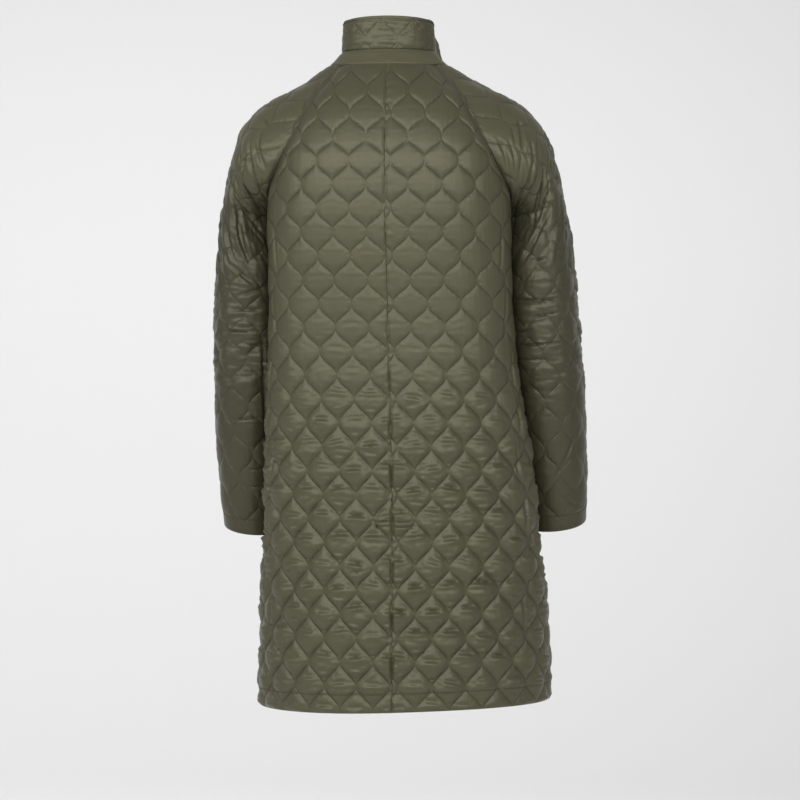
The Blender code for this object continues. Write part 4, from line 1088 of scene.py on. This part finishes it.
def sleeve_piece(name, side, sizes):
    """One raglan sleeve. The height over its base surface is a low quilted padding plus creases,
    which are the folds of its table, similar ones on its front, crushed cloth that slants below
    the cap and level crushed cloth, less the sunk cuff line, raglan band and rolled edges."""
    grid = sleeve_grid(side, sizes.sleeve_spacing)
    seed = 50 + (side > 0)
    shares = (SLEEVE_SHARE, SLEEVE_SHARE)
    rise = 0.40 * quilt_rise(grid.x, -grid.y, SLEEVE_START, -SLEEVE_ROW, shares, sizes, seed,
                             0.35, 0.5)
    edge = np.minimum(np.minimum(grid.left, grid.right), grid.above)
    band = smoothstep((CUFF_DEPTH + 0.004 - grid.below) / 0.006)
    rise *= (1.0 - 0.9 * band) * smoothstep(grid.below / 0.006)
    table = LEFT_SLEEVE_FOLDS if side > 0 else RIGHT_SLEEVE_FOLDS
    creases = folds(grid.x, grid.y, table) + 0.8 * folds(-grid.x, grid.y + 0.022, table)
    upper = smoothstep((grid.y - 0.14) / 0.06) * smoothstep((0.44 - grid.y) / 0.08)
    middle = smoothstep((grid.y - 0.38) / 0.05) * smoothstep((0.64 - grid.y) / 0.12)
    slanted = (grid.x - np.sign(grid.x) * 0.42 * grid.y) / 0.013
    creases += 0.0042 * upper * (crumple(slanted, grid.y / 0.042, seed + 7) - 0.25)
    level = crumple(grid.x / 0.034, grid.y / 0.013, seed + 9)
    creases += 0.0034 * (middle + 0.20) * (level - 0.25)
    rise = (rise + creases * (1.0 - band)) * smoothstep(edge / SLEEVE_RISE)
    rise -= 0.0010 * bell((grid.below - CUFF_DEPTH) / 0.0016)
    cap = smoothstep((grid.split - grid.y) / 0.03)
    seam = np.minimum(grid.left, grid.right)
    high = smoothstep((grid.points[..., 2] + 0.13) / 0.06)
    rise -= TROUGH_DEPTH * cap * high * bell(seam / RAGLAN_TROUGH)
    rise += 0.0013 * puckers(grid.y, seam, 0.0095, 0.018, seed + 3) * (0.3 + 0.7 * cap)
    rise += 0.0005 * puckers(grid.x, np.abs(grid.below - CUFF_DEPTH), 0.0065, 0.008, seed + 5)
    rise -= rolled(np.minimum(edge, grid.below), 1.0 - 0.6 * cap)
    wall = sizes.wall + TURNED_EDGE * smoothstep((CUFF_DEPTH - grid.below) / 0.008)
    # Painted shade along the raglan seams at the cap, in their sunk band.
    grid.shade_distance = seam + 0.05 * (1.0 - cap)
    # Painted light and shade: the sleeve's cloth is painted 1.10 times lighter at the cap and
    # darker below it, by a different amount on each sleeve.
    cloth = cloth_material("Cloth " + name, sizes, 1.10, SLEEVE_START, SLEEVE_ROW, shares, 0.42,
                           0.56 if side > 0 else 0.62)
    inner = cloth_material("Inner side " + name, sizes, 0.80)
    piece, outer = shell(name, grid, rise, wall, side > 0, (cloth, inner))
    row = int(np.argmin(np.abs(grid.below[:, 0] - CUFF_DEPTH)))
    path = outer[row] + grid.normals[row] * THREAD_LIFT
    thread = bpy.data.materials.get("Thread")
    rows = [stitches(name + "_cuff_stitching", path, grid.normals[row], thread)]
    return finish_cloth(piece, grid, name)


# --- The collar -------------------------------------------------------------------------------
class NeckPath:
    """A line round the neck and the way a collar band rises from it."""

    def __init__(self, points):
        self.points = points
        steps = np.linalg.norm(np.diff(points, axis=0), axis=1)
        self.distance = np.concatenate([[0.0], np.cumsum(steps)]) - steps.sum() / 2
        outward = points - np.array([0.0, NECK_CENTRE, 0.0])
        outward[:, 2] = 0.0
        self.outward = unit(outward)

    def band(self, distance, height, lean, proud=0.0):
        """Points and normals of a band that rises from the path and leans in by 'lean', and may
        stand a little proud of it."""
        read = [np.stack([np.interp(distance, self.distance, values[:, i]) for i in range(3)],
                         axis=-1) for values in (self.points, self.outward)]
        point, outward = read[0], unit(read[1])
        up = np.array([0.0, 0.0, 1.0])
        lean = lean[..., None]
        height = height[..., None]
        point = point + outward * (proud - height * np.sin(lean)) + up * height * np.cos(lean)
        return point, unit(outward * np.cos(lean) + up * np.sin(lean))


def leaf_lean(distance):
    """The leaf leans in a little, more beside the neck, and falls open towards its points."""
    beside = bell((np.abs(distance) - LEAF_TURNS) / STAND_EASE)
    opening = smoothstep((np.abs(distance) - LEAF_OPENS) / 0.10)
    return LEAF_LEAN + LEAF_TURN * beside - LEAF_OPENING * opening


def neck_line():
    """The neck seam from the right front round the back to the left front."""
    parts = []
    for side in (-1, 1):
        front = body_grid(side, True, 0.02)
        back = body_grid(side, False, 0.02)
        sleeve = sleeve_grid(side, 0.006)
        at_centre = front.x[0] >= -1e-9
        run = [front.points[0][at_centre], sleeve.points[0][1:-1], back.points[0][::-1]]
        half = np.concatenate(run)
        parts.append(half if side < 0 else half[::-1])
    return np.concatenate([parts[0][:-1], parts[1]])


def band_grid(path, ends, height_at, lean, spacing, lower=0.0):
    """The grid of a collar band, which may reach a little lower than its path."""
    columns = (spread(2 * ends, spacing) * 2.0 - 1.0) * ends
    rows = spread(float(height_at(np.array(0.0))), spacing)[::-1]
    distance = np.broadcast_to(columns, (len(rows), len(columns)))
    height = rows[:, None] * (height_at(columns) + lower) - lower
    points, normals = path.band(distance, height, lean(distance))
    return Grid(points, normals, distance, height, distance + ends, ends - distance,
                height_at(columns) - height, height + lower)


def collar_pieces(sizes):
    """The stand, sewn to the neck seam, and the leaf above it."""
    path = NeckPath(neck_line())

    def stand_lean(distance):
        return STAND_LEAN + STAND_TURN * bell((np.abs(distance) - STAND_TURNS) / STAND_EASE)

    def stand_top(distance):
        return np.full_like(distance, STAND_HEIGHT)

    def leaf_top(distance):
        fall = smoothstep(np.abs(distance) / LEAF_OPENS)
        point = smoothstep((np.abs(distance) - LEAF_OPENS) / 0.10)
        return LEAF_HEIGHT - LEAF_FALL * fall + LEAF_POINT * point

    stand = band_grid(path, path.distance[-1], stand_top, stand_lean, COLLAR_SPACING)
    edge = np.minimum(np.minimum(stand.left, stand.right), np.minimum(stand.above, stand.below))
    rise = -rolled(edge) - 0.0006 * bell((stand.above - 0.004) / 0.0013)
    rise += 0.0006 * noise(stand.x / 0.030, stand.y / 0.010, 71)
    rise += 0.0005 * puckers(stand.x, stand.below, 0.007, 0.006, 73)
    wall = np.full_like(rise, sizes.wall)
    # Painted shadow of the leaf darkens the top of the stand, and the stand's cloth is painted
    # 1.25 times lighter as painted light, for the light its upward lean doesn't catch.
    stand.shade_distance = 1.8 * stand.above
    cloth = cloth_material("Cloth collar_stand", sizes, 1.25)
    piece, _ = shell("collar_stand_cloth", stand, rise, wall, False, (cloth, cloth))
    finish_cloth(piece, stand, "collar_stand")

    top, _ = path.band(path.distance, np.full_like(path.distance, STAND_HEIGHT),
                       stand_lean(path.distance), LEAF_PROUD)
    fold = NeckPath(top)
    leaf = band_grid(fold, fold.distance[-1] - LEAF_SET_BACK, leaf_top, leaf_lean,
                     COLLAR_SPACING, 0.0007)
    edge = np.minimum(np.minimum(leaf.left, leaf.right), np.minimum(leaf.above, leaf.below))
    shares = (LOWER_SHARE, LOWER_SHARE)
    rise = 0.14 * quilt_rise(leaf.x, leaf.y, LEAF_START, LEAF_ROW, shares, sizes, 81, 0.5, 0.5)
    free = np.minimum(np.minimum(leaf.left, leaf.right), leaf.above)
    rise *= smoothstep((free - 0.005) / 0.005) * smoothstep(leaf.below / 0.006)
    rise -= 0.0007 * bell((free - LEAF_STITCHING) / 0.0012)
    ends = 0.6 + 0.4 * smoothstep((np.abs(leaf.x) - 0.03) / 0.03)
    wrinkles = crumple(leaf.x / 0.030, leaf.y / 0.0105, 83) - 0.25
    rise += 0.0030 * ends * wrinkles * smoothstep(edge / 0.01)
    rise += 0.0006 * puckers(leaf.x, leaf.below, 0.008, 0.012, 87)
    rise -= rolled(edge)
    wall = np.full_like(rise, sizes.wall)
    cloth = cloth_material("Cloth collar_leaf", sizes, 0.94, LEAF_START, LEAF_ROW, shares, 0.16)
    inner = cloth_material("Inner side collar_leaf", sizes, 0.95)
    piece, outer = shell("collar_leaf_cloth", leaf, rise, wall, False, (cloth, inner))
    row = int(np.argmin(np.abs(leaf.above[:, 0] - LEAF_STITCHING)))
    column = int(np.argmin(np.abs(leaf.left[0] - LEAF_STITCHING)))
    last = len(leaf.x[0]) - 1 - column
    lifted = outer + leaf.normals * THREAD_LIFT
    path = np.concatenate([lifted[row:, column][::-1], lifted[row, column + 1:last],
                           lifted[row:, last]])
    normals = np.concatenate([leaf.normals[row:, column][::-1],
                              leaf.normals[row, column + 1:last], leaf.normals[row:, last]])
    rows = [stitches("collar_leaf_edge_stitching", path, normals, bpy.data.materials["Thread"])]
    finish_cloth(piece, leaf, "collar_leaf")


# --- The buttons ------------------------------------------------------------------------------
def button_piece(number, height, material):
    """A turned button: a profile with a raised rim and a dished face, carried round its axis."""
    angle = np.array([math.pi])
    level = np.array([height])
    normal = body_normal(angle, level)[0]
    place = body_point(angle, level)[0] + normal * (LAP_LIFT + BUTTON_SEAT)
    turn = np.linspace(0.0, 2.0 * math.pi, 49)[:-1]
    profile = Table(
        "place radius height",
        (0.0, 0.00, 0.55), (1.0, 0.30, 0.54), (2.0, 0.62, 0.60), (3.0, 0.74, 0.70),
        (4.0, 0.80, 0.90), (5.0, 0.86, 1.00), (6.0, 0.93, 0.97), (7.0, 0.985, 0.80),
        (8.0, 1.00, 0.62), (9.0, 0.96, 0.35), (10.0, 0.84, 0.05), (11.0, 0.70, 0.00),
        (12.0, 0.00, 0.00),
    )
    steps = np.linspace(0.0, 12.0, 49)[1:-1]
    radius = profile("radius", steps) * BUTTON_RADIUS
    rise = profile("height", steps) * BUTTON_THICKNESS
    ring = np.stack([radius[:, None] * np.cos(turn), radius[:, None] * np.sin(turn),
                     np.broadcast_to(rise[:, None], (len(rise), len(turn)))], axis=-1)
    top = [[0.0, 0.0, 0.55 * BUTTON_THICKNESS]]
    points = np.concatenate([top, ring.reshape(-1, 3), [[0.0, 0.0, 0.0]]])
    count = len(turn)
    faces = [[0, 1 + i, 1 + (i + 1) % count] for i in range(count)]
    for row in range(len(rise) - 1):
        first = 1 + row * count
        faces += [[first + i, first + count + i, first + count + (i + 1) % count,
                   first + (i + 1) % count] for i in range(count)]
    last = 1 + (len(rise) - 1) * count
    faces += [[last + i, last + count, last + (i + 1) % count] for i in range(count)]
    basis = Vector(normal).to_track_quat("Z", "Y").to_matrix()
    points = points @ np.array(basis).T + place
    name = f"button_{number}_turned"
    mesh = bpy.data.meshes.new(name)
    mesh.from_pydata(points, [], faces)
    mesh.polygons.foreach_set("use_smooth", np.ones(len(faces), dtype=bool))
    mesh.materials.append(material)
    mesh.set_sharp_from_angle(angle=math.radians(60.0))
    piece = bpy.data.objects.new(name, mesh)
    bpy.context.scene.collection.objects.link(piece)
    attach(piece, "root")
    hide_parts(f"button_{number}")
    return piece


# --- Operators --------------------------------------------------------------------------------
class COAT_OT_threads(bpy.types.Operator):
    """Make the materials that several pieces share"""

    bl_idname = "coat.threads"
    bl_label = "Shared materials"

    def execute(self, context):
        sizes = context.scene.coat
        plain_material("Thread", shade(sizes.colour, 0.80), 0.5, 900.0, 0.0002)
        plain_material("Button", shade(sizes.button_colour, 1.0), 0.30, 260.0, 0.0002)
        return {"FINISHED"}


class COAT_OT_backs(bpy.types.Operator):
    """Make the two halves of the back"""

    bl_idname = "coat.backs"
    bl_label = "Backs"

    def execute(self, context):
        for hand, side in (("left", 1), ("right", -1)):
            body_piece(f"back_{hand}_cloth", side, False, context.scene.coat)
        return {"FINISHED"}


class COAT_OT_fronts(bpy.types.Operator):
    """Make the two fronts"""

    bl_idname = "coat.fronts"
    bl_label = "Fronts"

    def execute(self, context):
        for hand, side in (("left", 1), ("right", -1)):
            body_piece(f"front_{hand}_cloth", side, True, context.scene.coat)
        return {"FINISHED"}


class COAT_OT_sleeves(bpy.types.Operator):
    """Make the two raglan sleeves"""

    bl_idname = "coat.sleeves"
    bl_label = "Sleeves"

    def execute(self, context):
        for hand, side in (("left", 1), ("right", -1)):
            sleeve_piece(f"sleeve_{hand}_cloth", side, context.scene.coat)
        return {"FINISHED"}


class COAT_OT_collar(bpy.types.Operator):
    """Make the collar's stand and leaf"""

    bl_idname = "coat.collar"
    bl_label = "Collar"

    def execute(self, context):
        collar_pieces(context.scene.coat)
        return {"FINISHED"}


class COAT_OT_buttons(bpy.types.Operator):
    """Make the five buttons"""

    bl_idname = "coat.buttons"
    bl_label = "Buttons"

    def execute(self, context):
        material = bpy.data.materials["Button"]
        for number, height in enumerate(BUTTON_HEIGHTS, start=1):
            button_piece(number, height, material)
        return {"FINISHED"}


PICTURE = 800.0             # width and height of the photograph in pixels
COAT_MIDDLE = 391.5         # the coat's middle line in it, from the left
NECK_PIXEL = 68.0           # the back neck seam in it, from the top


def area_light(name, place, target, size, power):
    """A large soft light, which the camera doesn't see."""
    light = bpy.data.lights.new(name, "AREA")
    light.shape = "RECTANGLE"
    light.size, light.size_y = size
    light.energy = power
    lamp = bpy.data.objects.new(name, light)
    lamp.location = place
    lamp.rotation_mode = "QUATERNION"
    lamp.rotation_quaternion = (Vector(target) - Vector(place)).to_track_quat("-Z", "Y")
    lamp.visible_camera = False
    bpy.context.scene.collection.objects.link(lamp)


class COAT_OT_studio(bpy.types.Operator):
    """Make the pale floor and backdrop, the soft lights and the camera"""

    bl_idname = "coat.studio"
    bl_label = "Studio"

    def execute(self, context):
        studio = context.scene.studio
        azimuth = studio.azimuth
        back = np.array([math.sin(azimuth), -math.cos(azimuth), 0.0])
        right = np.array([math.cos(azimuth), math.sin(azimuth), 0.0])
        shift = -right * (COAT_MIDDLE - PICTURE / 2) * studio.scale
        place = back * studio.distance + shift + np.array([0.0, 0.0, studio.height])
        target = shift + np.array([0.0, 0.0, -(PICTURE / 2 - NECK_PIXEL) * studio.scale])
        camera = bpy.data.cameras.new("Camera")
        reach = float(np.linalg.norm(target - place))
        camera.sensor_width = 36.0
        camera.lens = reach / studio.scale * camera.sensor_width / PICTURE
        camera.clip_end = 100.0
        eye = bpy.data.objects.new("Camera", camera)
        eye.location = place
        eye.rotation_mode = "QUATERNION"
        eye.rotation_quaternion = Vector(target - place).to_track_quat("-Z", "Y")
        context.scene.collection.objects.link(eye)
        context.scene.camera = eye

        rise = np.linspace(0.0, math.pi / 2, 25)
        bend = 1.2
        far = 3.2
        profile = np.concatenate([
            [[-3.0, 0.0]],
            np.stack([far - bend + bend * np.sin(rise), bend - bend * np.cos(rise)], axis=-1),
            [[far, 9.0]]])
        points = np.array([[x, -y, z + studio.floor]
                           for y, z in profile for x in (-12.0, 12.0)])
        faces = [[2 * i, 2 * i + 2, 2 * i + 3, 2 * i + 1] for i in range(len(profile) - 1)]
        mesh = bpy.data.meshes.new("Floor")
        mesh.from_pydata(points, [], faces)
        mesh.polygons.foreach_set("use_smooth", np.ones(len(faces), dtype=bool))
        floor = bpy.data.objects.new("Floor", mesh)
        context.scene.collection.objects.link(floor)
        shader = Shader("Studio", 0.9, specular=0.0)
        shader.surface.inputs["Base Color"].default_value = (0.80, 0.80, 0.80, 1.0)
        # The backdrop shows from the coat's side alone, so that it doesn't hide the coat's
        # front from a camera that stands behind it.
        sockets = {0: shader.node("ShaderNodeNewGeometry").outputs["Backfacing"],
                   1: shader.surface.outputs[0],
                   2: shader.node("ShaderNodeBsdfTransparent").outputs[0]}
        seen = shader.node("ShaderNodeMixShader", None, sockets)
        shader.links.new(seen.outputs[0], shader.nodes["Material Output"].inputs["Surface"])
        mesh.materials.append(shader.material)

        world = bpy.data.worlds.new("Studio")
        context.scene.world = world
        world.use_nodes = True
        tree = world.node_tree
        tree.nodes["Background"].inputs[0].default_value = (1.0, 1.0, 1.0, 1.0)
        # Past the backdrop's ends the camera sees the same pale tone as on the backdrop.
        ray = tree.nodes.new("ShaderNodeLightPath")
        strength = tree.nodes.new("ShaderNodeMapRange")
        strength.inputs["To Min"].default_value = studio.ambient
        strength.inputs["To Max"].default_value = 0.80
        tree.links.new(ray.outputs["Is Camera Ray"], strength.inputs["Value"])
        tree.links.new(strength.outputs[0], tree.nodes["Background"].inputs[1])
        middle = np.array([0.0, 0.0, -0.14])
        tilt = math.radians(20.0)
        aside = math.radians(13.0)
        key = 4.2 * (math.cos(tilt) * (math.cos(aside) * back - math.sin(aside) * right)
                     + math.sin(tilt) * np.array([0.0, 0.0, 1.0]))
        area_light("Key", tuple(key + middle), tuple(middle), (9.5, 1.5), studio.key)
        area_light("Backdrop light", (0.9, -0.9, 0.4), (0.9, -3.2, -1.7), (5.0, 0.8),
                   studio.backdrop)
        return {"FINISHED"}


STEPS = (COAT_OT_threads, COAT_OT_backs, COAT_OT_fronts, COAT_OT_sleeves, COAT_OT_collar,
         COAT_OT_buttons, COAT_OT_studio)


class COAT_PT_panel(bpy.types.Panel):
    """Lists the coat's sizes and the steps that build it"""

    bl_idname = "COAT_PT_panel"
    bl_label = "Quilted coat"
    bl_space_type = "VIEW_3D"
    bl_region_type = "UI"
    bl_category = "Coat"

    def draw(self, context):
        for group in (context.scene.coat, context.scene.studio):
            for name in group.__annotations__:
                self.layout.prop(group, name)
        for step in STEPS:
            self.layout.operator(step.bl_idname)


CLASSES = (CoatSettings, StudioSettings, *STEPS, COAT_PT_panel)


def register():
    """Add the classes and the settings."""
    for item in CLASSES:
        bpy.utils.register_class(item)
    bpy.types.Scene.coat = PointerProperty(type=CoatSettings)
    bpy.types.Scene.studio = PointerProperty(type=StudioSettings)


def unregister():
    """Remove the settings and the classes."""
    del bpy.types.Scene.coat
    del bpy.types.Scene.studio
    for item in reversed(CLASSES):
        bpy.utils.unregister_class(item)


def main():
    """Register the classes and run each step."""
    register()
    bpy.context.scene.view_settings.view_transform = "Standard"
    for step in STEPS:
        space, name = step.bl_idname.split(".")
        getattr(getattr(bpy.ops, space), name)()
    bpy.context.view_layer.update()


if __name__ == "__main__":
    main()
